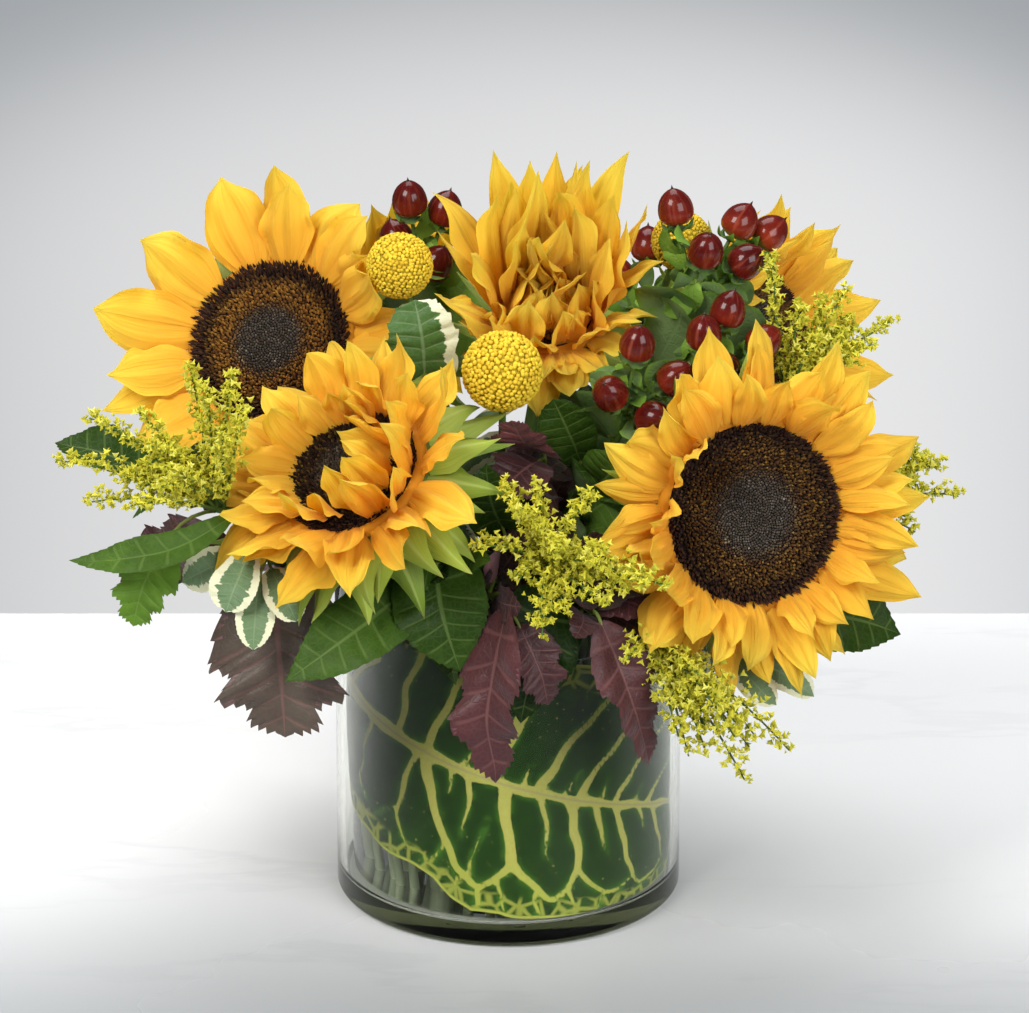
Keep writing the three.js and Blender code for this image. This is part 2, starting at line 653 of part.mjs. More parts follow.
// The green cup behind the disc
function cupSolid(radius) {
  const top = -discDepth - gap;
  const shoulder = radius + ringWidth + cupLip;
  return loft([
    circle(cupNeck, top - cupDepth, cupSides),
    circle(shoulder * 0.66, top - cupDepth / 2, cupSides),
    circle(shoulder, top - cupDepth / 5, cupSides),
    circle(shoulder, top, cupSides),
  ]);
}

// A stem stands on the vase's floor, runs straight through the water and the mouth, and then
// bends to its end, which it meets along aim
function stemPoints({ end, aim, radius }, mouth, steps) {
  const top = vec([mouth[0], mouth[1], vaseHeight]);
  const lean = (Math.hypot(...mouth) * (1 - footSpread)) / (vaseHeight - vaseFloor);
  const low = vaseFloor + gap + bladeGap + radius * lean;
  const foot = vec([mouth[0] * footSpread, mouth[1] * footSpread, low]);
  const up = top.clone().sub(foot).normalize();
  const reach = top.distanceTo(end);
  const bend = new THREE.CubicBezierCurve3(
    top,
    top.clone().addScaledVector(up, reach * 0.4),
    end.clone().addScaledVector(aim, -reach * 0.35),
    end,
  );
  return { points: [foot, ...bend.getPoints(steps)], curve: bend };
}

const stemHoles = [];

// Places a stem, shifting its stand in the mouth at each try, and notes its hole in the water
function placeStem(name, material, stem) {
  const random = seeded(stem.mouth[0] * 31 + stem.mouth[1] * 7 + 500);
  const tries = 80;
  const furthest = 11;
  for (let attempt = 0; attempt < tries; attempt++) {
    const shift = (furthest * attempt) / tries;
    const mouth = stem.mouth.map((value) => value + shift * (2 * random() - 1));
    const limit = waterRadius - stem.radius - stemSpacing - gap;
    const far = Math.hypot(mouth[0], mouth[1]);
    if (far > limit) mouth.forEach((value, i) => { mouth[i] = (value * limit) / far; });
    const { points, curve } = stemPoints(stem, mouth, stem.sides);
    const last = points.length - 1;
    const radii = points.map((_, k) => THREE.MathUtils.lerp(stem.radius, stem.tip, k / last));
    const solid = tube(points, radii, stem.sides);
    const above = points[0].clone().lerp(points[1], 0.05);
    const straight = tube([above, points[1]], [stem.radius, stem.radius], stem.sides);
    if (isClear(name, solid) && isClear(name, straight, { space: stemSpacing })) {
      place(name, material, solid);
      const down = points[0].clone().sub(points[1]).setLength(2 * stem.radius);
      const hole = [points[0].clone().add(down), points[1].clone().sub(down)];
      const wide = stem.radius + holeGap / Math.cos(Math.PI / stem.sides);
      stemHoles.push(tube(hole, [wide, wide], stem.sides));
      straight.delete();
      return curve;
    }
    solid.delete();
    straight.delete();
  }
  throw new Error(`no clear way for the stem of ${name}`);
}

function addSunflower(head) {
  const { matrix } = headMatrix(head);
  place(`${head.name}_disc`, "seed_disc", moved(discSolid(head.disc), matrix));
  const ring = petalRing(head.disc, head.rows[0].count);
  place(`${head.name}_petals`, "petal", moved(ring, matrix));
  place(`${head.name}_stem`, "green_stem", moved(cupSolid(head.disc), matrix));
}

function addFlowerStem(head) {
  const { face } = headMatrix(head);
  const root = vec(head.at).addScaledVector(face, -(discDepth + gap + cupDepth - 1.5));
  const radius = flowerStemRadius;
  placeStem(`${head.name}_stem`, "green_stem", {
    mouth: head.mouth, end: root, aim: face, radius, tip: radius * 1.1, sides: flowerStemSides,
  });
}

function addPetals(head) {
  const { matrix } = headMatrix(head);
  const random = seeded(head.seed);
  head.rows.forEach((row, rank) => {
    for (let k = 0; k < row.count; k++) {
      const own = {
        angle: (2 * Math.PI * (k + 0.5 * rank)) / row.count + 0.08 * (random() - 0.5),
        length: row.length * (0.92 + 0.16 * random()),
        width: row.width * (0.92 + 0.12 * random()),
        lift: row.lift + 8 * (random() - 0.5),
        curl: row.curl + 16 * (random() - 0.5),
        twist: 14 * (random() - 0.5),
      };
      const bend = [random(), random(), random()];
      const [longest, share] = head.skew;
      own.length *= 1 + share * Math.cos(own.angle - radians(longest));
      own.lift += (row.slant ?? 0) * Math.sin(own.angle);
      placeClear(`${head.name}_petals`, "petal", (strain) => ray(matrix, {
        ...own,
        profile: rank === head.rows.length - 1 ? "plain" : "petal",
        radius: head.disc + ringWidth / 2,
        height: petalRootHeight - rowSpacing * (rank / (head.rows.length - 1)),
        lift: own.lift + strain * bending.lift * (bend[0] - 0.2),
        curl: own.curl + strain * bending.curl * (bend[1] - 0.4),
        sway: strain * bending.sway * (bend[2] - 0.5),
        length: own.length * (1 - bending.shorter * strain),
        width: own.width * (1 - bending.narrower * strain),
        rootThick: rootHalfThickness,
      }), { apart: true });
    }
  });
}

function addBracts(head) {
  const { matrix } = headMatrix(head);
  const random = seeded(head.seed + 100);
  const b = head.bracts;
  for (let k = 0; k < b.count; k++) {
    const own = {
      angle: (2 * Math.PI * (k + 0.3)) / b.count + 0.2 * (random() - 0.5),
      length: b.length * (0.85 + 0.3 * random()),
      lift: b.lift + 14 * (random() - 0.5),
      curl: b.curl + 30 * (random() - 0.5),
    };
    placeClear(`${head.name}_stem`, "green_stem", (strain) => ray(matrix, {
      ...own,
      profile: "bract",
      radius: head.disc + ringWidth / 2,
      height: -discDepth - gap - cupDepth / 7,
      width: b.width,
      lift: own.lift + bending.bractLift * strain,
      curl: own.curl + bending.bractCurl * strain,
      length: own.length * (1 - bending.shorter * strain),
      rootThick: 2 * rootHalfThickness,
    }), { apart: true });
  }
}

// A button flower's ball, its florets raised and sunk by turns
function addButtonFlower(flower) {
  const count = 10;
  const bands = 7;
  const lean = vec(flower.lean).normalize();
  const turnTo = new THREE.Quaternion().setFromUnitVectors(vec([0, 0, 1]), lean);
  const matrix = new THREE.Matrix4().compose(vec(flower.at), turnTo, vec([1, 1, 1]));
  const rings = [[vec([0, 0, -flower.radius])]];
  for (let k = 1; k < bands; k++) {
    const angle = (Math.PI * k) / bands;
    const ring = Array.from({ length: count }, (_, j) => {
      const radius = flower.radius * ((j + k) % 2 === 0 ? 1 : 0.9);
      const around = (2 * Math.PI * j) / count;
      return vec([Math.sin(angle) * Math.cos(around), Math.sin(angle) * Math.sin(around),
        -Math.cos(angle)]).multiplyScalar(radius);
    });
    rings.push(ring);
  }
  rings.push([vec([0, 0, flower.radius])]);
  place(`${flower.name}_head`, "button", moved(loft(rings), matrix));
  const end = vec(flower.at).addScaledVector(lean, -(flower.radius + 2 * gap));
  placeStem(`${flower.name}_stem`, "green_stem", {
    mouth: flower.mouth, end, aim: lean, radius: buttonStemRadius, tip: buttonStemRadius,
    sides: sprayStemSides,
  });
}

// A leaf: a stalk from the stem, then the blade in its outline, arched towards the way it faces
function leafSolid(attach, leaf, strain, bend) {
  const from = vec(leaf.from);
  const drift = vec(bend.map((value) => (value - 0.5) * bending.leafTip * strain));
  const to = vec(leaf.to).add(drift);
  from.addScaledVector(drift, 0.25);
  const half = leaf.half * (1 - bending.narrower * strain);
  const facing = vec(leaf.face).normalize().addScaledVector(drift, 0.012).normalize();
  const middle = from.clone().lerp(to, 0.5).addScaledVector(facing, leaf.arch ?? 0);
  const spine = new THREE.QuadraticBezierCurve3(from, middle, to);
  const length = from.distanceTo(to);
  const square = (along) => facing.clone().addScaledVector(along, -facing.dot(along)).normalize();
  const toBlade = from.clone().sub(attach).normalize();
  const stalk = { half: stalkRadius, thick: stalkRadius };
  const stations = [{ at: attach, along: toBlade, face: square(toBlade), ...stalk }];
  outlines[leaf.outline].forEach(([t, share, forward]) => {
    const along = spine.getTangent(t);
    stations.push({
      at: spine.getPoint(t), along, face: square(along), half: half * share,
      thick: leafThickness, rise: half * share * leafFold, forward: forward * length,
    });
  });
  return blade(stations, keeledBlades.includes(leaf.outline));
}

// The stem of a spray, put in before the petals so that they bend round it
const sprayWays = new Map();

function addSprayStem(spray, material) {
  const aim = vec(spray.aim).normalize();
  const end = vec(spray.end);
  sprayWays.set(spray.name, placeStem(spray.name, material, {
    mouth: spray.mouth, end, aim, radius: sprayStemRadius, tip: sprayTipRadius,
    sides: sprayStemSides,
  }));
}

// The knot at a stem's end, which stalks and sprigs spring from
function addKnot(spray, material) {
  const end = vec(spray.end);
  const knot = new THREE.OctahedronGeometry(knotRadius);
  knot.translate(end.x, end.y, end.z);
  place(spray.name, material, geometrySolid(knot));
  return end;
}

function addLeaves(stem) {
  const curve = sprayWays.get(stem.name);
  const random = seeded(stem.name.length * 977 + stem.leaves.length);
  stem.leaves.forEach((leaf, k) => {
    const attach = curve.getPoint(0.96 - 0.1 * k);
    const bend = [random(), random(), random()];
    const shaped = { outline: stem.outline, ...leaf };
    const make = (strain) => leafSolid(attach, shaped, strain, bend);
    placeClear(stem.name, stem.colour, make);
  });
}

function addBerries(spray) {
  const curve = sprayWays.get(spray.name);
  const attach = addKnot(spray, "berry");
  const random = seeded(spray.name.length * 131);
  spray.berries.forEach((berry, k) => {
    const bend = [random(), random(), random()];
    placeClear(spray.name, "berry", (strain) => {
      const at = vec(berry).add(vec(bend.map((value) => (value - 0.5) * bending.berry * strain)));
      const outward = at.clone().sub(attach).normalize();
      const rings = berryProfile.map(([t, share]) => ({
        at: at.clone().addScaledVector(outward, t * berryLength), radius: share * berryRadius,
      }));
      const radii = [stalkRadius, ...rings.map((r) => r.radius)];
      return tube([attach, ...rings.map((r) => r.at)], radii, berrySides);
    });
  });
  spray.leaves.forEach((tip, k) => {
    const knot = curve.getPoint(0.86 - 0.12 * k);
    const foot = knot.clone().lerp(vec(tip), 0.3);
    const along = vec(tip).sub(knot).normalize();
    const face = along.clone().cross(vec([0.3, 1, 0.2])).cross(along);
    const leaf = {
      outline: "small", from: foot.toArray(), to: tip, half: berryLeafHalf, arch: 1,
      face: face.z < 0 ? face.negate().toArray() : face.toArray(),
    };
    const bend = [random(), random(), random()];
    placeClear(spray.name, "berry", (strain) => leafSolid(knot, leaf, strain, bend));
  });
}

// A goldenrod sprig: a bare stalk, then florets, pushed out in turn along four sides of it
function sprig(from, to, radius) {
  const bare = 0.4;
  const florets = 5;
  const middle = from.clone().lerp(to, 0.5).add(vec([0, 0, sprigArch]));
  const path = new THREE.QuadraticBezierCurve3(from, middle, to);
  const points = [from];
  const sizes = [stalkRadius];
  for (let k = 0; k <= florets; k++) {
    const t = bare + ((1 - bare) * k) / florets;
    const size = radius * (0.55 + 0.45 * Math.sin(Math.PI * Math.min(1, 0.2 + 0.75 * t)));
    points.push(path.getPoint(t));
    const proud = k === 0 ? [stalkRadius, stalkRadius] : [size, size * 0.3];
    sizes.push(k % 2 === 0 ? proud : proud.reverse());
  }
  return tube(points, sizes, 4);
}

// A goldenrod plume: sprigs from the stem's end to their tips
function addPlume(spray) {
  const attach = addKnot(spray, "goldenrod");
  const random = seeded(spray.name.length * 71 + 3);
  spray.tips.forEach((tip) => {
    const bend = [random(), random(), random()];
    placeClear(spray.name, "goldenrod", (strain) => {
      const to = vec(tip).add(vec(bend.map((value) => (value - 0.5) * bending.sprigTip * strain)));
      return sprig(attach, to, sprigRadius * (1 - bending.narrower * strain));
    });
  });
}

// Water fills the vase inside the lining, with a plain hole for every stem
function addWater() {
  const low = vaseFloor + gap;
  const body = new THREE.CylinderGeometry(waterRadius, waterRadius, waterLevel - low, vaseSides);
  body.rotateX(Math.PI / 2);
  body.translate(0, 0, (waterLevel + low) / 2);
  let water = geometrySolid(body);
  stemHoles.forEach((hole) => { water = water.subtract(hole); });
  place("water", "water", water);
}

addVase();
liningLeaves.forEach(addLiningLeaf);
sunflowers.forEach(addSunflower);
sunflowers.forEach(addFlowerStem);
buttonFlowers.forEach(addButtonFlower);
berrySprays.forEach((spray) => addSprayStem(spray, "berry"));
goldenrodSprays.forEach((spray) => addSprayStem(spray, "goldenrod"));
leafyStems.forEach((stem) => addSprayStem(stem, stem.colour));
sunflowers.forEach(addPetals);
sunflowers.forEach(addBracts);
berrySprays.forEach(addBerries);
leafyStems.forEach(addLeaves);
goldenrodSprays.forEach(addPlume);
addWater();

// Joins the pieces of a node in one body, without the hollows and scraps that joining leaves
function joined(pieces) {
  const whole = pieces.map((piece) => piece.solid).reduce((sum, solid) => sum.add(solid));
  return whole.decompose().reduce((best, part) => (part.volume() > best.volume() ? part : best));
}

const group = new THREE.Group();
for (const [name, node] of nodes) {
  const mesh = joined(node.pieces).getMesh();
  const geometry = new THREE.BufferGeometry();
  geometry.setAttribute("position", new THREE.BufferAttribute(mesh.vertProperties, 3));
  geometry.setIndex(new THREE.BufferAttribute(mesh.triVerts, 1));
  geometry.computeVertexNormals();
  const object = new THREE.Mesh(geometry, new THREE.MeshStandardMaterial(materials[node.material]));
  object.name = name;
  group.add(object);
}

export default group;
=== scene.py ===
import math

import bpy
import numpy as np
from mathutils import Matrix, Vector
from mathutils.bvhtree import BVHTree


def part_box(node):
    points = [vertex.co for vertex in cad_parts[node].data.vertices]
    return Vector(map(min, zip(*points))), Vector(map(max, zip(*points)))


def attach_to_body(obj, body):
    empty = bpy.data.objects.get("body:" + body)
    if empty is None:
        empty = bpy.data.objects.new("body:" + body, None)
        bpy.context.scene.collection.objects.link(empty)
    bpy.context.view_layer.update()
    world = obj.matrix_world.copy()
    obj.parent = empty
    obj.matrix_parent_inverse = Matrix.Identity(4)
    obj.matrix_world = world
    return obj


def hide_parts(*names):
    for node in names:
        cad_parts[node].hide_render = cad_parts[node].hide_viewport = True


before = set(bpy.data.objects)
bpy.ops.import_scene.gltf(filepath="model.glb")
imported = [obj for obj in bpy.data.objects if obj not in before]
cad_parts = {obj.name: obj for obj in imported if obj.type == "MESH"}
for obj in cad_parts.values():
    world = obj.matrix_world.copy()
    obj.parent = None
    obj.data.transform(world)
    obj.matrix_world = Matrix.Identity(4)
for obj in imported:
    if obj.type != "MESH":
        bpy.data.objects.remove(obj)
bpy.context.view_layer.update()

# Sunflowers in a vase. Lengths are millimetres until makePiece turns them into metres.
mm = 0.001
goldenAngle = math.pi * (3 - math.sqrt(5))
wholeTurn = 6.28  # near enough for random directions and coarse copies


def unit(v):
    v = np.asarray(v, float)
    return v / np.maximum(np.linalg.norm(v, axis=-1, keepdims=True), 1e-9)


def ease(x, low=0.0, high=1.0):  # 0 below low, 1 above high, a smooth step between
    x = np.clip((np.asarray(x, float) - low) / (high - low), 0, 1)
    return x * x * (3 - 2 * x)


def along(points, t):  # places at the shares t of a line through points, smoothed by a cubic
    points = np.asarray(points, float)
    knots = np.linspace(0, 1, len(points))
    slopes = np.gradient(points, knots, axis=0)
    k = np.clip(np.searchsorted(knots, t, side="right") - 1, 0, len(points) - 2)
    gap = knots[1]
    u = ((t - knots[k]) / gap)[:, None]
    return (points[k] * (2 * u**3 - 3 * u**2 + 1) + points[k + 1] * (3 * u**2 - 2 * u**3)
            + gap * slopes[k] * (u**3 - 2 * u**2 + u) + gap * slopes[k + 1] * (u**3 - u**2))


def bow(a, b, c, t):  # quadratic curve from a to c, drawn towards b
    t = t[:, None]
    return (1 - t) ** 2 * a + 2 * t * (1 - t) * b + t**2 * c


def bend(a, b, c, d, t):  # cubic curve from a to d with the handles b and c
    t = t[:, None]
    return (1 - t) ** 3 * a + 3 * t * (1 - t) ** 2 * b + 3 * t**2 * (1 - t) * c + t**3 * d


def circle(sides):  # angles all round, the last one short of the first
    return np.linspace(0, 2 * np.pi, sides, endpoint=False)


def polar(radius, angle, height):  # points by their radius and angle about z
    return np.stack(np.broadcast_arrays(radius * np.cos(angle), radius * np.sin(angle), height), -1)


def standing(normals, spin):  # frames whose z looks along normals, turned by spin about it
    normals = unit(normals)
    helper = np.where(np.abs(normals[:, 2:3]) < 0.9, [[0.0, 0.0, 1.0]], [[1.0, 0.0, 0.0]])
    x = unit(np.cross(helper, normals))
    y = np.cross(normals, x)
    c, s = np.cos(spin)[:, None], np.sin(spin)[:, None]
    return np.stack([c * x + s * y, c * y - s * x, normals], axis=-1)


# A part is points, faces by their corner count, uv and traits (own tone, underside, zone)
def part(points, faces, uv, tone=0.5, under=0.0, zone=0.0, skin=0):
    points = np.asarray(points, float)
    traits = np.zeros((len(points), 3))
    traits[:, 0], traits[:, 1], traits[:, 2] = tone, under, zone
    return {"points": points, "faces": faces, "uv": uv, "traits": traits, "skin": skin}


def outward(made):  # turns every face round if the closed part is inside out
    volume = 0.0
    for faces in made["faces"]:
        corner = made["points"][faces]
        for k in range(1, faces.shape[1] - 1):
            volume += np.einsum("ij,ij->", corner[:, 0], np.cross(corner[:, k], corner[:, k + 1]))
    if volume < 0:
        made["faces"] = [faces[:, ::-1] for faces in made["faces"]]
    return made


def ringFaces(rows, count, start=0):  # quads between rows of closed rings
    index = start + np.arange(rows * count).reshape(rows, count)
    after = np.roll(index, -1, axis=1)
    return np.stack([index[:-1], after[:-1], after[1:], index[1:]], -1).reshape(-1, 4)


def capped(rings, ends, uv, endUv, **traits):
    # rings (rows, count, 3) joined by quads, each end drawn to one point by triangles
    rows, count = rings.shape[:2]
    points = np.concatenate([rings.reshape(-1, 3), ends])
    first = np.arange(count)
    last = first + (rows - 1) * count
    low = np.stack([np.full(count, rows * count), np.roll(first, -1), first], -1)
    high = np.stack([np.full(count, rows * count + 1), last, np.roll(last, -1)], -1)
    faces = [ringFaces(rows, count), np.concatenate([low, high])]
    uv = np.concatenate([uv.reshape(-1, 2), endUv])
    return outward(part(points, faces, uv, **traits))


crossways = ([1.0, 0.25, 0.1], [0.1, 1.0, 0.2])  # the second for paths that run along x


def roundRings(path, radii, angle, helper=crossways[0]):  # a ring of points about each place
    run = unit(np.gradient(path, axis=0))
    x = unit(np.cross(helper, run))
    y = np.cross(run, x)
    c, s = np.cos(angle)[:, None], np.sin(angle)[:, None]
    return path[:, None] + radii * (c * x[:, None] + s * y[:, None])


def tube(path, radii, sides, **traits):  # a round bar along path, closed at both ends
    path = np.asarray(path, float)
    radii = np.broadcast_to(radii, len(path))[:, None, None]
    angle = circle(sides)
    alongX = abs(unit(path[-1] - path[0])[0]) >= 0.7
    rings = roundRings(path, radii, angle, crossways[int(alongX)])
    length = np.concatenate([[0], np.cumsum(np.linalg.norm(np.diff(path, axis=0), axis=1))])
    uv = np.stack(np.broadcast_arrays(angle[None] / (2 * np.pi), length[:, None] / 10), -1)
    return capped(rings, path[[0, -1]], uv, uv[[0, -1], 0], **traits)


def turned(radii, heights, sides, **traits):
    # a profile of radii and heights turned round z; its first and last points lie on the axis
    angle = circle(sides)
    r, z = np.asarray(radii, float), np.asarray(heights, float)
    rings = polar(r[1:-1, None], angle, z[1:-1, None])
    ends = np.array([[0, 0, z[0]], [0, 0, z[-1]]])
    v = np.linspace(0, 1, len(r) - 2)
    uv = np.stack(np.broadcast_arrays(angle[None] / (2 * np.pi), v[:, None]), -1)
    return capped(rings, ends, uv, np.array([[0.5, 0.0], [0.5, 1.0]]), **traits)


def moved(made, turn, to):
    made["points"] = made["points"] @ np.asarray(turn).T + to
    return made


def scattered(shape, places, frames, sizes, tone=0.5, zone=0.0, skin=0):
    # copies of one small shape, each turned by its frame, scaled by its size and set in its place
    sizes = np.asarray(sizes, float)
    sizes = sizes[:, None] * np.ones(3) if sizes.ndim == 1 else sizes
    local = shape["points"][None] * sizes[:, None]
    points = np.einsum("nij,nvj->nvi", frames, local) + places[:, None]
    count, size = len(places), len(shape["points"])
    shift = (np.arange(count) * size)[:, None, None]
    faces = [(f[None] + shift).reshape(-1, f.shape[1]) for f in shape["faces"]]
    tones = np.repeat(np.broadcast_to(tone, count), size)
    zones = np.repeat(np.broadcast_to(zone, count), size)
    uv = np.tile(shape["uv"], (count, 1))
    made = part(points.reshape(-1, 3), faces, uv, tones, 0, zones, skin)
    made["traits"][:, 1] = np.tile(shape["traits"][:, 1], count)
    return made


def show(name, data):
    thing = bpy.data.objects.new(name, data)
    bpy.context.scene.collection.objects.link(thing)
    return thing


def makePiece(name, parts, finishes, slot, nodes):
    # one mesh object from its parts, in metres, riding on the root and standing for CAD nodes
    starts = np.cumsum([0] + [len(p["points"]) for p in parts])
    points = np.concatenate([p["points"] for p in parts]) * mm
    uv = np.concatenate([p["uv"] for p in parts])
    traits = np.concatenate([p["traits"] for p in parts])
    loops, sizes, skins = [], [], []
    for made, start in zip(parts, starts):
        for faces in made["faces"]:
            loops.append((faces + start).ravel())
            sizes.append(np.full(len(faces), faces.shape[1]))
            skins.append(np.full(len(faces), made["skin"]))
    loops, sizes, skins = (np.concatenate(a) for a in (loops, sizes, skins))
    mesh = bpy.data.meshes.new(name)
    mesh.vertices.add(len(points))
    mesh.vertices.foreach_set("co", points.ravel())
    mesh.loops.add(len(loops))
    mesh.loops.foreach_set("vertex_index", loops)
    mesh.polygons.add(len(sizes))
    mesh.polygons.foreach_set("loop_start", np.cumsum(sizes) - sizes)
    mesh.polygons.foreach_set("material_index", skins)
    mesh.polygons.foreach_set("use_smooth", np.ones(len(sizes), bool))
    mesh.uv_layers.new(name="UVMap").data.foreach_set("uv", uv[loops].ravel())
    held = mesh.attributes.new("traits", "FLOAT_VECTOR", "POINT")
    held.data.foreach_set("vector", traits.ravel())
    for finish in finishes:
        mesh.materials.append(finish)
    mesh.update(calc_edges=True)
    mesh.validate()
    mesh.set_sharp_from_angle(angle=math.radians(75))
    piece = show(name, mesh)
    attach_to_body(piece, "root")
    if nodes:
        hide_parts(*nodes)
    tally["triangles"] += int((sizes - 2).sum())


tally = {"triangles": 0, "kept": 0, "left out": 0}
bundles = {}  # the parts of each piece, gathered until every blade has found its place


def seeded(table, seed):  # the entries of a table, each with random numbers of its own
    for index, (name, entry) in enumerate(table.items()):
        yield name, entry, np.random.default_rng(seed + index)


def gather(name, parts, *made):  # made is the list of finishes, the slot and the CAD nodes
    if made:
        bundles[name] = [[], *made]
    bundles[name][0].extend(parts)


def makeBundles():
    for name, (parts, finishes, slot, nodes) in bundles.items():
        makePiece(name, parts, finishes, slot, nodes)


def nodePoints(node):  # a CAD node's points in millimetres
    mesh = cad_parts[node].data
    points = np.empty(len(mesh.vertices) * 3, np.float32)
    mesh.vertices.foreach_get("co", points)
    return points.reshape(-1, 3).astype(float) / mm


def nodeBox(node):
    low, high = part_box(node)
    return np.array(low) / mm, np.array(high) / mm


# Clearing: every blade, stem and fruit leaves a coarse copy that later blades are bent round
placed = []


def coarse(surface):  # the coarse copy of a grid of points (rows, columns, 3)
    rows, columns = surface.shape[:2]
    index = np.arange(rows * columns).reshape(rows, columns)
    quads = np.stack([index[:-1, :-1], index[:-1, 1:], index[1:, 1:], index[1:, :-1]], -1)
    points = surface.reshape(-1, 3)
    tree = BVHTree.FromPolygons(points.tolist(), quads.reshape(-1, 4).tolist())
    return points.min(0), points.max(0), tree


def crossings(owner, copy, limit=1000):  # faces of other owners' copies that this one runs through
    low, high, tree = copy
    total = 0
    for other, otherLow, otherHigh, otherTree in placed:
        if other == owner or (low > otherHigh).any() or (otherLow > high).any():
            continue
        total += len(tree.overlap(otherTree))
        if total > limit:
            break
    return total


def occupy(owner, surface):
    placed.append((owner, *coarse(surface)))


def settle(owner, make, tries=20, most=4):
    # keeps the first try that runs through nothing, else the best if it crosses at most a little
    best = None
    for attempt in range(tries):
        blade = make(attempt / tries)
        surface = blade["surface"]
        copy = coarse(surface[::3, ::2])
        hits = crossings(owner, copy, best[0] if best else 1000)
        if best is None or hits < best[0]:
            best = (hits, blade, copy)
        if hits == 0:
            break
    if best[0] > most:
        tally["left out"] += 1
        return None
    tally["kept"] += 1
    placed.append((owner, *best[2]))
    return best[1]


def sheetBlade(centre, run, face, half, across, relief, forward, thick, **traits):
    # a thin closed blade: across each row of the spine the points stand half times across to the
    # side, relief out along the face and forward along the spine; thick fades to 0 at the edges
    side = unit(np.cross(face, run))
    face = unit(np.cross(run, side))
    surface = (centre[:, None] + side[:, None] * (half[:, None] * across)[..., None]
               + face[:, None] * relief[..., None] + run[:, None] * forward[..., None])
    rows, columns = surface.shape[:2]
    body = thick * (1 - np.abs(np.linspace(-1, 1, columns)) ** 3)
    shell = face[:, None] * (body * np.ones((rows, 1)))[..., None] / 2
    top, bottom = surface + shell, surface - shell
    rings = np.concatenate([top[:-1], bottom[:-1, -2:0:-1]], axis=1)
    u = np.linspace(0, 1, columns)
    v = np.linspace(0, 1, rows)
    ringU = np.concatenate([u, u[-2:0:-1]])
    uv = np.stack(np.broadcast_arrays(ringU[None], v[:-1, None]), -1)
    ends = np.array([surface[0, columns // 2], surface[-1, columns // 2]])
    made = capped(rings, ends, uv, np.array([[0.5, 0.0], [0.5, 1.0]]), **traits)
    count = 2 * columns - 2
    underside = np.tile(np.arange(count) >= columns, rows - 1)
    made["traits"][: len(underside), 1] = underside
    return {"part": made, "surface": surface}


# Shader maths: a number is one output of a node, and an expression on it adds Math nodes
class Number:
    def __init__(self, shader, socket):
        self.shader, self.socket = shader, socket

    def output(self, name):  # another output of the same node
        return Number(self.shader, self.socket.node.outputs[name])

    def maths(self, operation, *others):
        values = dict(enumerate([self, *others]))
        return self.shader.node("ShaderNodeMath", {"operation": operation}, values)

    def __add__(self, other):
        return self.maths("ADD", other)

    def __mul__(self, other):
        return self.maths("MULTIPLY", other)

    def __sub__(self, other):
        return self.maths("SUBTRACT", other)

    def __rsub__(self, other):
        return self * -1 + other

    def __truediv__(self, other):
        return self.maths("DIVIDE", other)

    def __abs__(self):
        return self.maths("ABSOLUTE")

    __radd__ = __add__
    __rmul__ = __mul__

    def most(self, other):
        return self.maths("MAXIMUM", other)

    def fraction(self):
        return self.maths("WRAP", 1.0, 0.0)

    def step(self, low, high):  # a smooth step from 0 at low to 1 at high
        settings = {"interpolation_type": "SMOOTHSTEP"}
        values = {"Value": self, "From Min": low, "From Max": high}
        return self.shader.node("ShaderNodeMapRange", settings, values)


class Shader:  # a node tree; its methods add nodes and give their first or named output
    def __init__(self, tree):
        self.tree = tree

    def link(self, value, socket):
        if isinstance(value, Number):
            self.tree.links.new(value.socket, socket)
        elif value is not None:
            socket.default_value = value

    def node(self, kind, settings=None, values=None, output=0):
        node = self.tree.nodes.new(kind)
        for key, value in (settings or {}).items():
            if key == "stops":
                ramp = node.color_ramp.elements
                while len(ramp) < len(value):
                    ramp.new(0.5)
                for stop, (place, colour) in zip(ramp, value):
                    stop.position, stop.color = place, (*colour, 1)
            else:
                setattr(node, key, value)
        for key, value in (values or {}).items():
            self.link(value, node.inputs[key])
        return Number(self, node.outputs[output])

    def coordinate(self, where, index):
        return self.node("ShaderNodeSeparateXYZ", values={0: where}, output=index)

    def vector(self, x, y):
        return self.node("ShaderNodeCombineXYZ", values={0: x, 1: y})

    def noise(self, where, scale, detail=3.0, rough=0.5):
        values = {"Vector": where, "Scale": scale, "Detail": detail, "Roughness": rough}
        return self.node("ShaderNodeTexNoise", values=values)

    def cellGap(self, where, scale):  # how far a place lies from the nearest cell's edge
        settings, values = {"feature": "DISTANCE_TO_EDGE"}, {"Vector": where, "Scale": scale}
        return self.node("ShaderNodeTexVoronoi", settings, values, "Distance")

    def mix(self, share, a, b):
        a, b = ((*c, 1) if isinstance(c, tuple) else c for c in (a, b))
        return self.node("ShaderNodeMix", {"data_type": "RGBA"}, {0: share, 6: a, 7: b}, 2)

    def over(self, colour, *layers):  # a colour with others laid over it, each by its share
        for share, other in layers:
            colour = self.mix(share, colour, other)
        return colour

    def ramp(self, value, *stops):
        return self.node("ShaderNodeValToRGB", {"stops": stops}, {0: value})

    def bump(self, height, strength, distance):
        values = {"Height": height, "Strength": strength, "Distance": distance * mm}
        return self.node("ShaderNodeBump", values=values)


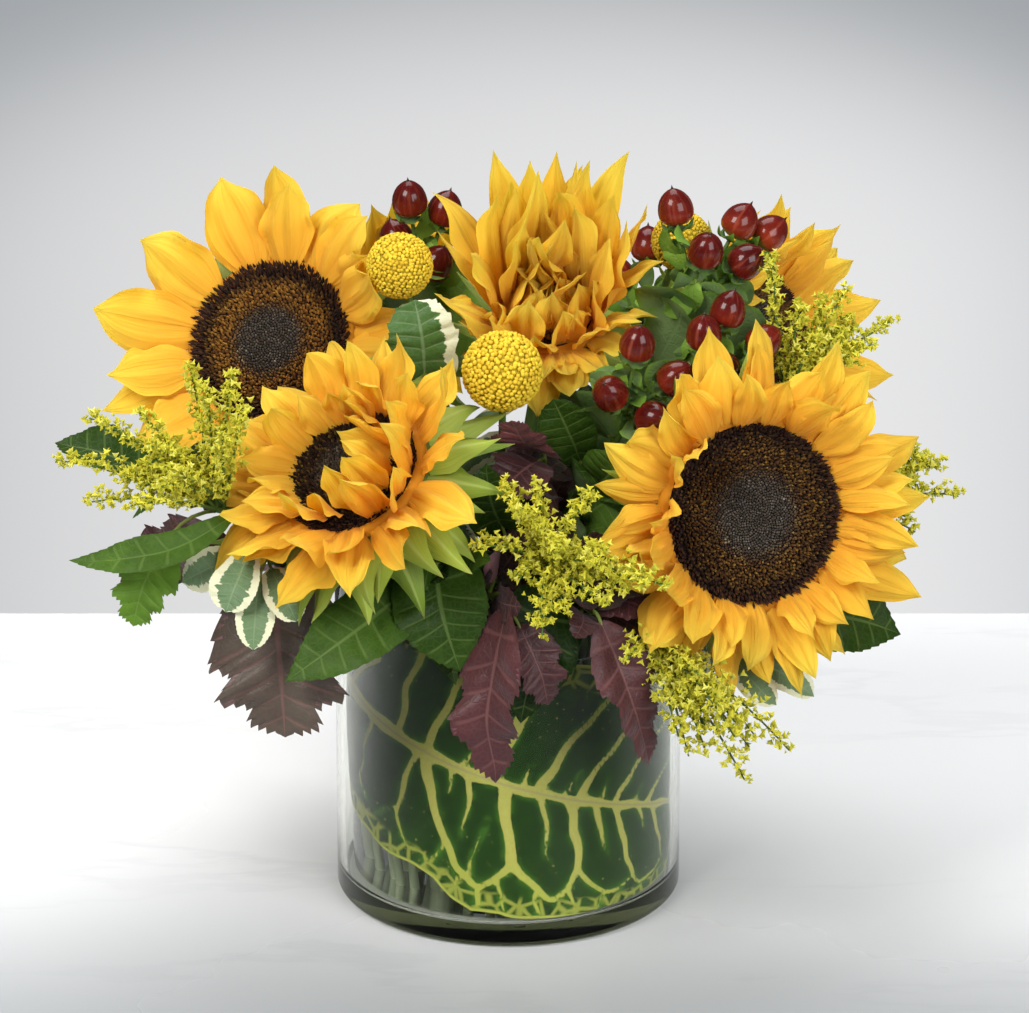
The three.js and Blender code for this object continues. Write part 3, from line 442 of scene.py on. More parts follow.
class Finish(Shader):  # a material; look holds the uniform values of its Principled shader
    def __init__(self, name, look):
        self.material = bpy.data.materials.new(name)
        self.material.use_nodes = True
        super().__init__(self.material.node_tree)
        self.principled = self.tree.nodes["Principled BSDF"]
        self.output = self.tree.nodes["Material Output"]
        for key, value in look.items():
            self.principled.inputs[key].default_value = value

    def trait(self, index):  # 0 own tone, 1 underside, 2 zone
        found = self.node("ShaderNodeAttribute", {"attribute_name": "traits"}, output="Vector")
        return self.coordinate(found, index)

    def uv(self, index):
        return self.coordinate(self.node("ShaderNodeUVMap", {"uv_map": "UVMap"}), index)

    def place(self):
        return self.node("ShaderNodeTexCoord", output="Object")

    def mixShaders(self, share, other, own=None):  # other takes its share from own or the surface
        own = own or Number(self, self.principled.outputs[0])
        return self.node("ShaderNodeMixShader", values={0: share, 1: own, 2: other})

    def finished(self, colour, roughness, normal=None, through=None):
        for key, value in (("Base Color", colour), ("Roughness", roughness), ("Normal", normal)):
            self.link(value, self.principled.inputs[key])
        if through:  # a share of the light goes through thin blades, its colour from low to high
            share, level, *tints = through
            low, high = (self.node("ShaderNodeBsdfTranslucent", values={"Color": (*tint, 1)})
                         for tint in tints)
            glow = self.mixShaders(level, high, low)
            self.link(self.mixShaders(share, glow), self.output.inputs["Surface"])
        return self.material


# Glass and water let lamps through, so that what stands behind them is lit; where there is much
# glass to look through, as along the vase's floor, it darkens to olive: partly the glass's own
# tint, partly painted shade of the stems and of the table beneath. Both mirror little.
clearLook = {"Transmission Weight": 1.0, "Roughness": 0.0, "Specular IOR Level": 0.15,
             "Specular Tint": (0.12, 0.12, 0.12, 1)}


def clearFinish(name, colour, ior, shade, dark=None):
    finish = Finish(name, {**clearLook, "IOR": ior, "Base Color": (*colour, 1)})
    lamp = finish.node("ShaderNodeLightPath", output="Is Shadow Ray")
    if dark:
        *tint, density = dark
        height = finish.coordinate(finish.place(), 2)
        lamp = lamp * (height.step(0.002, 0.011) * 0.9 + 0.1)
        thick = finish.node("ShaderNodeVolumeAbsorption",
                            values={"Color": (*tint, 1), "Density": density})
        finish.link(thick, finish.output.inputs["Volume"])
    clear = finish.node("ShaderNodeBsdfTransparent", values={"Color": (*shade, 1)})
    finish.link(finish.mixShaders(lamp, clear), finish.output.inputs["Surface"])
    return finish.material


# The vase: a clear cylinder with a thick floor, its profile turned round the axis
vase = {"height": 127.0, "radius": 63.5, "wall": 3.0, "floor": 8.0, "footRound": 3.0,
        "rimRound": 1.45, "innerRound": 3.5, "sides": 192, "waterLevel": 108.0, "waterSide": 57.4}
vaseInner = vase["radius"] - vase["wall"]


def corner(r, z, radius, start, stop, count=9):  # an arc of a profile about (r, z), in degrees
    angle = np.radians(np.linspace(start, stop, count))
    return np.stack([r + radius * np.cos(angle), z + radius * np.sin(angle)], -1)


def makeVase():
    foot, rim, inner = vase["footRound"], vase["rimRound"], vase["innerRound"]
    profile = np.concatenate([
        [[0, 0.5], [20, 0.5], [44, 0.4], [54, 0.1]],
        corner(vase["radius"] - foot, foot, foot, -90, 0),
        [[vase["radius"], 40], [vase["radius"], 90]],
        corner(vase["radius"] - rim, vase["height"] - rim, rim, 0, 90),
        corner(vaseInner + rim, vase["height"] - rim, rim, 92, 180),
        [[vaseInner, 80], [vaseInner, 30]],
        corner(vaseInner - inner, vase["floor"] + inner, inner, 0, -90),
        [[40, vase["floor"] + 0.2], [20, vase["floor"] + 0.4], [0, vase["floor"] + 0.4]],
    ])
    made = turned(profile[:, 0], profile[:, 1], vase["sides"])
    # the strong olive absorption of the thick floor is partly the glass's tint and partly painted
    # shade
    glass = clearFinish("glass", (0.99, 1.0, 0.99), 1.46, (0.93, 0.95, 0.94),
                        (0.32, 0.36, 0.08, 22.0))
    makePiece("vase_glass", [made], [glass], "glass", ["vase"])


def makeWater():
    side, level = vase["waterSide"], vase["waterLevel"]
    low = vase["floor"] + 0.65
    profile = np.concatenate([
        [[0, low], [30, low]], corner(side - 3, low + 3, 3, -90, 0),
        [[side, 50], [side, level + 1.2]],
        [[side - 0.6, level + 0.5], [side - 2, level + 0.1], [side - 5, level], [0, level]],
    ])
    made = turned(profile[:, 0], profile[:, 1], 128)
    clear = clearFinish("water", (0.97, 0.985, 0.97), 1.33, (0.95, 0.96, 0.94))
    makePiece("vase_water", [made], [clear], "water", ["water"])


# Lining leaves: a long oval laid on a cylinder just inside the wall, its margins a little wavy
lining = {
    "radius": vaseInner - 0.7, "thickness": 0.8, "slack": 1.2,
    "front": {"node": "lining_leaf_front", "turns": (-112, 124), "heights": (101, 22), "half": 50,
              "grid": (181, 51),
              # the wavy lower margin: how far it lies from the midrib at places along it
              "lower": [(30, 33), (54, 45), (68, 47), (84, 46.5), (97, 45.5), (108, 46.5),
                        (117, 51), (125, 53), (135, 49), (146, 48.2), (155, 47), (165, 43.5),
                        (178, 40.6), (187, 38), (198, 32), (220, 24), (240, 16)]},
    "back": {"node": "lining_leaf_back", "turns": (126, 236), "heights": (78, 64), "half": 40,
             "grid": (91, 31)},
}
# Side veins by their place along the midrib in mm, each with its half width. In front, where the
# leaf is seen best, each vein is drawn: half widths at its ends, then places along and across.
liningVeins = {
    "midrib": 3.5,
    "lower": [(12, 1.4), (34, 1.6), (60, 1.3), (86, 2.2), (108, 2.1), (130, 1.8), (153, 1.7),
              (190, 1.4), (211, 1.2), (232, 0.9)],
    "upper": [(20, 1.4), (48, 1.6), (77, 1.9), (92, 1.9), (118, 1.8), (136, 1.7), (154, 1.5),
              (170, 1.4), (187, 1.2), (206, 1.1), (226, 0.9)],
    "sweep": {"lower": (0.30, 0.34), "upper": (0.42, 0.62)}, "seen": (55, 200),
    "drawn": [
        (0.9, 0.3, (64, -1), (64, -17), (64, -29), (70, -34)),
        (1.2, 0.4, (87, -2), (86, -25), (90, -35), (95, -40)),
        (0.7, 0.3, (86, -26), (81, -32), (77, -37)),
        (2.1, 1.1, (91, -2), (97, -13), (103, -23), (111, -33), (118, -40), (124, -42)),
        (0.7, 0.3, (107, -30), (106, -38), (102, -41)), (1.2, 0.2, (102, -2), (103, -11)),
        (1.2, 0.1, (109, -2), (112, -15), (113, -26)),
        (0.2, 0.6, (120, -15), (119, -27), (120, -39)),
        (2.4, 1.8, (121, 0), (128, -17), (133, -29)),
        (1.4, 1.0, (133, -29), (131, -35), (124, -42)),
        (1.4, 1.1, (133, -29), (140, -34), (152, -39)),
        (1.2, 0.1, (136, -2), (142, -15), (146, -25)),
        (2.0, 1.3, (147, -1), (154, -15), (158, -26)),
        (1.1, 1.0, (158, -26), (157, -33), (152, -39)),
        (1.0, 0.6, (158, -26), (165, -31), (173, -33), (180, -31), (184, -26)),
        (1.2, 0.1, (157, -1), (165, -13), (169, -19)),
        (1.6, 0.9, (167, -1), (175, -14), (184, -26)), (0.9, 0.1, (179, -1), (185, -10)),
        (1.2, 0.4, (189, -2), (197, -12), (203, -20)),
        (0.8, 0.5, (184, -26), (190, -29), (197, -26), (203, -20)),
        (0.9, 0.3, (210, -1), (218, -11)), (1.0, 0.6, (124, -42), (128, -51)),
        (0.9, 0.5, (131, -37), (136, -48)), (0.8, 0.5, (145, -37), (149, -47)),
        (0.9, 0.5, (157, -34), (162, -43)), (0.6, 0.4, (171, -33), (172, -41)),
        (0.7, 0.5, (118, -40), (114, -48)), (1.5, 1.2, (78, 1), (77, 12), (76, 23), (78, 40)),
        (1.5, 1.2, (90, 1), (92, 14), (93, 25), (97, 40)), (0.9, 0.2, (105, 1), (107, 10)),
        (2.0, 1.7, (117, 2), (118, 19), (121, 32), (127, 46)), (0.9, 0.2, (127, 1), (129, 9)),
        (1.7, 1.2, (134, 1), (138, 16), (144, 29), (152, 41)), (0.9, 0.2, (144, 1), (147, 11)),
        (1.4, 0.9, (150, 1), (155, 15), (163, 27), (174, 38)), (0.8, 0.2, (158, 1), (161, 10)),
        (1.2, 0.8, (166, 1), (171, 13), (179, 23), (190, 32)), (0.7, 0.2, (175, 1), (179, 8)),
        (1.1, 0.6, (183, 1), (190, 9), (201, 18)),
    ],
}


def halfOfLining(leaf, t, side, length):
    half = leaf["half"] * np.sin(np.pi * np.clip(0.04 + t * 0.93, 0, 1)) ** 0.75
    if "lower" in leaf:
        own = np.interp(t * length, *zip(*leaf["lower"]))
        own = half + (own - half) * ease(t * length, 20, 50) * (1 - ease(t * length, 225, 240))
        half = np.where(side < 0, own, half)
    return half


def veinLines(leaf, length, random):
    # side veins run out from the midrib, fork and meet in loops; short ones run on to the margin
    lines = []  # each a list of points (x, y, half width)

    def place(y, share, side):
        return np.array([side * share * float(halfOfLining(leaf, y / length, side, length)), y])

    def add(points, first, last):
        points = np.array(points)
        if len(points) > 2:
            points = along(points, np.linspace(0, 1, 9))
        width = np.linspace(first, last, len(points))
        lines.append(np.column_stack([points, width]))

    add([(0, 0), (0, length * 0.5), (0, length)], liningVeins["midrib"], 0.5)
    drawn = leaf is lining["front"]
    low, high = liningVeins["seen"] if drawn else (0, 0)
    for side, key in ((-1, "lower"), (1, "upper")):
        sweeps, forks = liningVeins["sweep"][key], []
        roots = [v for v in liningVeins[key] if v[0] < length - 14 and not low < v[0] < high]
        for y, half in roots:
            reach = random.uniform(0.60, 0.70)
            end = place(y, reach, side)
            sweep = random.uniform(*sweeps) * abs(end[0])
            fork = end + [0, sweep]
            middle = [end[0] * 0.5, y + sweep * 0.36 + random.uniform(-1.5, 1.5)]
            add([(0, y - 1), middle, fork], half, half * 0.62)
            forks.append((fork, half * 0.6))
        for (one, w1), (two, w2) in zip(forks, forks[1:]):
            if two[1] - one[1] > 60:
                continue
            share = random.uniform(0.4, 0.6)
            y = one[1] * (1 - share) + two[1] * share
            joint = place(min(y, length - 6), random.uniform(0.82, 0.88), side)
            for start, width in ((one, w1), (two, w2)):
                middle = (start + joint) / 2 + [side * 1.5, 0] + random.normal(size=2) * 0.8
                add([start, middle, joint], width, width * 0.8)
            ends = [joint[1] + random.uniform(-2, 2), one[1] + random.uniform(1, 5),
                    (one[1] + joint[1]) / 2 + random.uniform(-2, 2)]
            starts = [joint, one * 0.35 + joint * 0.65, (one + joint) / 2]
            for start, y in zip(starts, ends):
                edge = place(min(max(y, 3), length - 3), 0.99, side)
                add([start, (start + edge) / 2 + random.normal(size=2), edge],
                    random.uniform(0.6, 1.0), random.uniform(0.4, 0.9))
        for _ in range(len(roots) * 3):  # spurs between the side veins
            y = random.uniform(8, length - 20)
            if drawn and low - 10 < y < high + 15:
                continue
            reach = random.choice([0.1, 0.15, 0.22, 0.45, 0.55], p=[0.3, 0.25, 0.2, 0.15, 0.1])
            end = place(y, reach, side)
            end = end + [0, random.uniform(*sweeps) * abs(end[0]) + random.uniform(-2, 2)]
            if min(abs(y - root) for root, half in roots) > 4.5:
                add([(0, y), end * 0.5 + [0, y * 0.5], end], 0.9, 0.15)
    if drawn:
        for first, last, *places in liningVeins["drawn"]:
            add([(across, run) for run, across in places], first, last)
    return lines


def veinGap(x, y, lines):  # how far each place lies outside the nearest vein's edge
    gap = np.full(x.shape, 99.0)
    for line in lines:
        for a, b in zip(line[:-1], line[1:]):
            reach = b[:2] - a[:2]
            t = ((x - a[0]) * reach[0] + (y - a[1]) * reach[1]) / max(reach @ reach, 1e-6)
            t = np.clip(t, 0, 1)
            away = np.hypot(x - a[0] - t * reach[0], y - a[1] - t * reach[1])
            gap = np.minimum(gap, away - (a[2] * (1 - t) + b[2] * t))
    return gap


def liningFinish():
    # dark green between yellow veins, brighter green along the veins and near the margin
    finish = Finish("lining_leaf", {"Specular IOR Level": 0.12})
    x, y = finish.uv(0) * 100, finish.uv(1) * 100
    gap, share = finish.trait(0) * 10, finish.trait(2)
    where = finish.vector(x, y)
    rough = finish.noise(where, 0.7, 3)
    edge = gap + (rough - 0.5) * 0.9
    vein = 1 - edge.step(-0.3, 0.3)
    fine = finish.cellGap(where, 0.17)
    blot = finish.noise(where, 0.16, 3)
    fineVein = (1 - fine.step(0.03, 0.12 + 0.14 * blot)) * share.step(0.80, 0.87)
    flecks = finish.noise(where, 0.55, 2).step(0.66, 0.72) * share.step(0.25, 0.7)
    margin = share.step(0.965, 0.985)
    yellow = vein.most(fineVein * 0.75).most(flecks * 0.5).most(margin)
    green = finish.mix(blot, (0.008, 0.024, 0.004), (0.018, 0.052, 0.008))
    fringe = (1 - edge.step(0.0, 2.2)) * 0.5 + share.step(0.6, 1.0) * 0.3
    groove = (1 - abs(x + (rough - 0.5)).step(0.25, 0.7)) * 0.6
    gold = finish.mix(rough, (0.33, 0.31, 0.06), (0.45, 0.42, 0.12))
    gold = finish.over(gold, (share.step(0.4, 0.9) * 0.5, (0.30, 0.36, 0.035)),
                       (groove, (0.30, 0.25, 0.14)))
    colour = finish.over(green, (fringe * blot.step(0.3, 0.6), (0.06, 0.17, 0.018)), (yellow, gold))
    return finish.finished(colour, 0.42 + blot * 0.12, finish.bump(yellow, 0.3, 0.6))


def makeLining():
    skin = liningFinish()
    for key in ("front", "back"):
        leaf = lining[key]
        rows, columns = leaf["grid"]
        t = np.linspace(0, 1, rows)[:, None]
        share = np.linspace(-1, 1, columns)[None]
        random = np.random.default_rng(77)
        start, stop = np.radians(leaf["turns"])
        low, high = leaf["heights"]
        run = (stop - start) * lining["radius"]
        slope = math.atan2(high - low, run)
        length = math.hypot(run, high - low)
        half = halfOfLining(leaf, t, share, length)
        half = half * (1 + 0.012 * np.sin(t * 61) + 0.01 * np.sin(t * 37 + 1))
        forth = t * length * math.cos(slope) - share * half * math.sin(slope)
        height = low + t * length * math.sin(slope) + share * half * math.cos(slope)
        turn = start + forth / lining["radius"]
        z = np.clip(height, vase["floor"] + 2.3, vase["height"] - 1)
        slack = lining["slack"] * np.abs(share) ** 3 * (0.5 + 0.5 * np.sin(t * 21 + share * 2))
        slack = slack + 0.2 * np.abs(np.sin(t * 40 + np.abs(share) * 9)) * (1 - np.abs(share))

        def shell(inset):
            radius = lining["radius"] - slack - inset
            return np.stack([radius * np.sin(turn), -radius * np.cos(turn), z], -1)

        outer, inside = shell(0.0), shell(lining["thickness"])
        rings = np.concatenate([outer, inside[:, -2:0:-1]], axis=1)
        x, y = np.broadcast_arrays(share * half, t * length)
        warpX = 0.5 * np.sin(y * 0.31 + np.sin(x * 0.23) * 2)
        warpY = 0.6 * np.sin(x * 0.3 + np.sin(y * 0.19) * 2)
        gap = veinGap(x + warpX, y + warpY, veinLines(leaf, length, random))
        grid = np.stack([x, y], -1) / 100
        uv = np.concatenate([grid, grid[:, -2:0:-1]], axis=1)
        made = capped(rings, outer[[0, -1], columns // 2], uv, uv[[0, -1], columns // 2])
        edge = np.abs(np.concatenate([share[0], share[0, -2:0:-1]]))
        both = np.concatenate([gap, gap[:, -2:0:-1]], axis=1)
        made["traits"][:, 0] = np.append(both.ravel() / 10, [0, 0])
        made["traits"][:, 1] = np.append(np.tile(np.arange(len(edge)) >= columns, rows), [0, 0])
        made["traits"][:, 2] = np.append(np.tile(edge, rows), [0, 0])
        makePiece(f"{leaf['node']}_blade", [made], [skin], "lining_leaf", [leaf["node"]])


def blades(count, length, width, lift, curl, **more):  # one row of petals or bracts
    return {"count": count, "length": length, "width": width, "lift": lift, "curl": curl, **more}


# Sunflower heads: where each looks, its rows of petals from the inner one outwards, its bracts
heads = {
    "sunflower_left_back": {
        "seed": 11, "turn": -22, "tilt": 37, "disc": 28, "skew": (190, 0.06), "warmth": 0.15,
        "gilt": 0.8, "spread": 0.3,
        "rows": [blades(12, 35, 23, 30, -14, blunt=2.3, root=-1.6, wild=1.2),
                 blades(13, 38, 22, 14, -8, blunt=2.2, root=-1, wild=1.2)],
        "bracts": blades(16, 26, 11, -24, 14),
    },
    "sunflower_left_front": {
        "seed": 23, "turn": -35, "tilt": 50, "disc": 25, "skew": (-35, 0.1), "warmth": 0.5,
        "gilt": 0.0, "slantTo": 22, "spread": -1.4,
        "rows": [blades(15, 26, 13, 70, 20, slant=34, root=-8.5, wild=1.5),
                 blades(15, 30, 15, 48, 4, slant=32, root=-3, wild=1.6),
                 blades(17, 34, 16, 24, -8, slant=14, root=-1, wild=1.8)],
        "bracts": blades(36, 31, 15, 4, -22, ranks=3),
    },
    "sunflower_right_front": {
        "seed": 37, "turn": 20, "tilt": 15, "disc": 32, "skew": (0, 0.04), "warmth": 0.6,
        "gilt": 0.25, "tangle": (190, 0.9), "spread": -1.8,
        "rows": [blades(19, 27, 13, 56, -30, root=-2.4, wild=1.9),
                 blades(20, 30, 14, 32, -20, root=-1.2, wild=1.9),
                 blades(18, 33, 14, 10, -8, wild=1.5)],
        "bracts": blades(18, 24, 11, -26, 10),
    },
    "sunflower_top": {
        "seed": 41, "turn": 0, "tilt": 62, "disc": 16, "skew": (90, 0.3), "warmth": 0.1,
        "gilt": 1.0, "spread": -3, "fan": (25, 0.22),
        "rows": [blades(7, 29, 13, 92, 6, slant=-6, root=-12, wild=1.3),
                 blades(11, 33, 14, 86, 0, slant=2, root=-8, wild=1.3),
                 blades(15, 37, 14, 74, -8, slant=14, root=-3, wild=1.4),
                 blades(17, 38, 14, 58, -14, slant=24, wild=1.5),
                 blades(19, 39, 14, 40, -22, slant=34, wild=1.4)],
        "bracts": blades(14, 22, 10, -12, 8),
    },
    "sunflower_right_back": {
        "seed": 59, "turn": 57, "tilt": 33, "disc": 24, "skew": (-40, 0.2), "warmth": 0.3,
        "gilt": 0.3, "slantTo": 115,
        "rows": [blades(17, 27, 13, 66, -6, slant=48, root=-1, wild=1.4),
                 blades(18, 31, 13, 40, -8, slant=36, wild=1.4)],
        "bracts": blades(16, 24, 11, -20, 12),
    },
    "sunflower_back": {
        "seed": 67, "turn": -160, "tilt": 28, "disc": 27, "skew": (0, 0), "warmth": 0.4,
        "gilt": 0.4,
        "rows": [blades(16, 32, 16, 34, -14),
                 blades(15, 35, 17, 12, -10)],
        "bracts": blades(16, 25, 11, -24, 12),
    },
}
headForm = {"depth": 3.0, "dome": 3.5, "ring": 3.4, "cup": 15.0, "neck": 5.2, "lip": 1.6,
            "stem": (4.0, 4.6), "footSpread": 0.72, "back": -3.3}
# Florets for each square millimetre of a disc, how far the outermost stand out, and their size
floretForm = {"density": 3.5, "spread": 0.8, "ragged": 1.4, "wide": 0.57, "high": 1.4}


def headFrame(head):  # columns right, up and facing of a head
    turn, tilt = math.radians(head["turn"]), math.radians(head["tilt"])
    face = np.array([math.cos(tilt) * math.sin(turn), -math.cos(tilt) * math.cos(turn),
                     math.sin(tilt)])
    right = np.array([math.cos(turn), math.sin(turn), 0.0])
    return np.stack([right, np.cross(face, right), face], axis=1)


def headPlace(name):
    low, high = nodeBox(f"{name}_disc")
    return (low + high) / 2


def rayBlade(turn, at, own, form, **traits):
    # A ray leaves its ring at the angle lift to the disc, and bends by curl along its length and
    # by hook near its tip. Across, it is cupped, pleated and ruffled at its edges.
    t = np.linspace(0, 1, form["rows"])
    s = np.linspace(-1, 1, form["columns"])
    radial = np.array([math.cos(own["angle"]), math.sin(own["angle"]), 0])
    tangent = np.array([-math.sin(own["angle"]), math.cos(own["angle"]), 0])
    lift = np.radians(own["lift"] + own["curl"] * t + own["hook"] * ease(t, 0.6, 1))
    sway = own["sway"] * t + 0.12 * np.sin(4 * t + own["phase"])
    run = unit(np.cos(lift)[:, None] * radial + np.sin(lift)[:, None] * [0, 0, 1]
               + sway[:, None] * tangent)
    centre = np.cumsum(run * own["length"] / (len(t) - 1), axis=0)
    centre = centre - centre[0] + radial * own["radius"] + np.array([0, 0, own["height"]])
    twist = np.radians(own["twist"]) * t
    face = unit(np.cross(tangent, run))
    side = np.cross(face, run)
    face = np.cos(twist)[:, None] * face + np.sin(twist)[:, None] * side
    rise = form["root"] + (1 - form["root"]) * np.sin(np.pi / 2 * np.clip(t / form["wide"], 0, 1))
    fall = 1 - np.clip((t - form["wide"]) / (1 - form["wide"]), 0, 1) ** own["blunt"]
    half = own["width"] / 2 * rise * np.maximum(fall * (1 - form["nip"] * ease(t, 0.78, 1)), 0.02)
    tt, ss = t[:, None], s[None]
    bell = np.sin(np.pi * np.clip(tt * 0.9 + 0.05, 0, 1))
    relief = form["cup"] * ss**2 * (1 - 0.6 * tt) + form["keel"] * (np.sqrt(ss**2 + 0.01) - 0.3)
    relief = relief + form["pleat"] * bell * np.cos(form["pleats"] * np.pi * ss + own["phase"])
    wave = np.sin(9 * tt + own["phase"] * 3) * ss**2
    wave = wave + np.sin(15 * tt + own["phase"] * 7) * ss**3
    relief = relief + form["ruffle"] * wave * ease(tt, 0.1, 0.6)
    relief = relief + own["fold"] * np.clip(ss * own["hand"], 0, 1) ** 2 * ease(tt, 0, 0.5)
    relief = relief * half[:, None]
    forward = 0.05 * own["length"] * np.sin(own["phase"] * 5 + 3 * ss) * ease(tt, 0.5, 1) * 0.4
    forward = forward * np.ones_like(relief) * (1 - ease(tt, 0.92, 1))
    centre, run, face = (a @ turn.T for a in (centre, run, face))
    return sheetBlade(centre + at, run, face, half, s, relief, forward, form["thick"], **traits)


petalForm = {"rows": 18, "columns": 11, "root": 0.42, "wide": 0.44, "cup": 0.16,
             "keel": 0.0, "nip": 0.4, "pleat": 0.15, "pleats": 2.6, "ruffle": 0.2, "thick": 0.3}
bractForm = {"rows": 13, "columns": 7, "root": 0.8, "wide": 0.3, "cup": 0.0,
             "keel": 0.5, "nip": 0.0, "pleat": 0.04, "pleats": 3.0, "ruffle": 0.1, "thick": 0.4}


# How petals and bracts vary: the random draw that a value takes, its spread and its middle
petalVary = {"curl": (4, 26, 0.5), "hook": (5, 46, 0.5), "twist": (6, 50, 0.5),
             "sway": (7, 0.3, 0.5), "fold": (9, 0.9, 0.35)}
petalStrain = {"lift": (0, 60, 0.2), "curl": (1, 90, 0.4), "sway": (2, 1.2, 0.5)}
bractVary = {"curl": (3, 50, 0.5), "hook": (4, 90, 0.5), "twist": (5, 60, 0.5),
             "sway": (6, 0.6, 0.5)}


def varied(values, vary, draw, wild=1):
    return {key: values.get(key, 0) + spread * wild * (draw[index] - middle)
            for key, (index, spread, middle) in vary.items()}


def makePetals(name, head, turn, at, finish):
    random = np.random.default_rng(head["seed"])
    ringSides = 72
    radius, ring = head["disc"] + 0.4, headForm["ring"]
    profile = np.array([[radius, -2.9], [radius + ring, -2.9], [radius + ring, -0.6],
                        [radius + ring / 2, -0.1], [radius, -0.2]])
    rings = polar(profile[:, 0], circle(ringSides)[:, None], profile[:, 1])
    faces = ringFaces(ringSides + 1, 5) % (ringSides * 5)
    uv = np.tile([-1.0, 0.0], (ringSides * 5, 1))
    ringPart = outward(part(rings.reshape(-1, 3), [faces], uv, zone=head["warmth"]))
    parts = [moved(ringPart, turn, at)]
    # what differs round the head: where its petals are longest, wildest and most upright, and
    # how far they fan out to both sides
    longest, share = head["skew"]
    tangled, wilder = head.get("tangle", (0, 0))
    slantTo = head.get("slantTo", 90)
    risen, longer = head.get("fan", (0, 0))
    for rank, row in enumerate(head["rows"]):
        for k in range(row["count"]):
            draw, wild = random.random(12), row.get("wild", 1)
            angle = 2 * np.pi * (k + 0.5 * rank) / row["count"] + 0.14 * (draw[0] - 0.5)
            wild *= 1 + wilder * max(math.cos(angle - math.radians(tangled)), 0)
            own = {
                **varied(row, petalVary, draw, wild), "angle": angle, "phase": wholeTurn * draw[8],
                "length": row["length"] * (0.86 + 0.26 * draw[1]),
                "width": row["width"] * (0.84 + 0.32 * draw[2]),
                "lift": row["lift"] + (7 if k % 2 else -5) + 10 * wild * (draw[3] - 0.5),
                "blunt": row.get("blunt", 1.9) + 0.5 * (draw[1] - 0.5),
                "hand": 1 if draw[10] > 0.5 else -1,
                "radius": head["disc"] + headForm["ring"] * 0.5 + row.get("root", 0),
                "height": -0.6 - 1.5 * rank / max(len(head["rows"]) - 1, 1),
            }
            own["length"] *= 1 + share * math.cos(angle - math.radians(longest))
            own["lift"] += row.get("slant", 0) * math.cos(angle - math.radians(slantTo))
            own["lift"] += risen * abs(math.cos(angle))
            own["length"] *= 1 + longer * abs(math.sin(2 * angle)) * np.sign(math.sin(angle))
            bent = random.random(3)

            def make(strain):
                tried = {**own, **varied(own, petalStrain, bent, strain)}
                tried["length"] *= 1 - 0.35 * strain
                tried["width"] *= 1 - 0.3 * strain
                return rayBlade(turn, at, tried, petalForm, tone=draw[11], zone=head["warmth"])

            blade = settle(name, make)
            if blade:
                parts.append(blade["part"])
    gather(f"{name}_rays", parts, [finish], "petal", [f"{name}_petals"])


def petalFinish():
    # golden yellow, orange at the root and lighter at the tip, with fine streaks along it
    finish = Finish("petal", {"Specular IOR Level": 0.2, "Sheen Weight": 0.08})
    u, v = finish.uv(0), finish.uv(1)
    tone, warmth = finish.trait(0), finish.trait(2)
    streaks = finish.noise(finish.vector(u * 26 + tone * 90, v * 2.2), 1.0, 3)
    patches = finish.noise(finish.vector(u * 2 + tone * 50, v * 3), 1.0, 2)
    edge = abs(u - 0.5) * 2
    level = v + (streaks - 0.5) * 0.3 + (patches - 0.5) * 0.4 + (tone - 0.5) * 0.3
    ribs = finish.noise(finish.vector(u * 11 + tone * 70, v * 0.9), 1.0, 2)
    level = level + edge * 0.12 - warmth * 0.28 + (ribs - 0.5) * 0.45
    colour = finish.ramp(level, (0.0, (0.95, 0.51, 0.035)), (0.18, (0.97, 0.59, 0.045)),
                         (0.45, (0.98, 0.67, 0.060)), (0.75, (0.99, 0.76, 0.080)),
                         (1.0, (1.0, 0.84, 0.11)))
    colour = finish.mix(finish.trait(1) * 0.25, colour, (0.92, 0.58, 0.06))
    colour = finish.mix(u.step(-0.9, -0.5), (0.74, 0.32, 0.016), colour)
    normal = finish.bump(streaks * 0.6 + patches * 0.5 + ribs * 2.2, 0.7, 0.8)
    through = (0.48, level, (0.95, 0.51, 0.035), (1.0, 0.84, 0.11))
    return finish.finished(colour, 0.55 + streaks * 0.2, normal, through)


def makeDisc(name, head, turn, at, finish):
    # florets in the spiral of the golden angle: flat buds at the middle, open ones at the rim
    random = np.random.default_rng(head["seed"] + 5)
    radius = head["disc"]
    count = int(floretForm["density"] * radius * radius)
    index = np.arange(count)
    spread = head.get("spread", floretForm["spread"])
    reach = radius + spread + floretForm["ragged"] * random.random(count)
    r = reach * np.sqrt((index + 0.5) / count)
    angle = index * goldenAngle + 0.5 * (random.random(count) - 0.5) / np.sqrt(index + 1)
    share = r / radius
    top = headForm["dome"] * (1 - share**2) - 0.8 + 0.9 * ease(share, 0.9, 1.0)
    outer = ease(share, 0.42, 0.62)
    rim = ease(share, 0.8, 0.98)
    places = polar(r, angle, top - 0.9)
    normals = polar(share * (0.25 + 0.5 * rim), angle, 1.0)
    normals = normals + 0.16 * (random.random((count, 3)) - 0.5) * (1 + 2 * outer[:, None])
    frames = standing(normals, random.random(count) * wholeTurn)
    height = floretForm["high"] + 1.3 * outer + 1.5 * rim * random.random(count)
    height = height + 0.6 * random.random(count)
    wide = floretForm["wide"] + 0.04 * outer
    sizes = np.stack([wide, wide, height], -1)
    floret = turned([0, 1.0, 0], [0, 0.55, 1], 4)
    tones = random.random(count)
    parts = [scattered(floret, places, frames, sizes, tones, share)]
    parts[0]["traits"][:, 1] = head["gilt"]
    base = np.linspace(1, 0, 9)
    dome = headForm["dome"] * (1 - base**2)
    bodyR = np.concatenate([[0, radius], (radius - 0.3) * base])
    bodyZ = np.concatenate([[-3, -3], dome - 1.3])
    parts.append(turned(bodyR, bodyZ, 40, tone=0.1, zone=0.95))
    for made in parts:
        moved(made, turn, at)
    gather(f"{name}_florets", parts, [finish], "seed_disc", [f"{name}_disc"])
    surface = polar(base[:, None], np.linspace(0, wholeTurn, 13), dome[:, None])
    occupy(name, surface * [radius, radius, 1] @ turn.T + at)


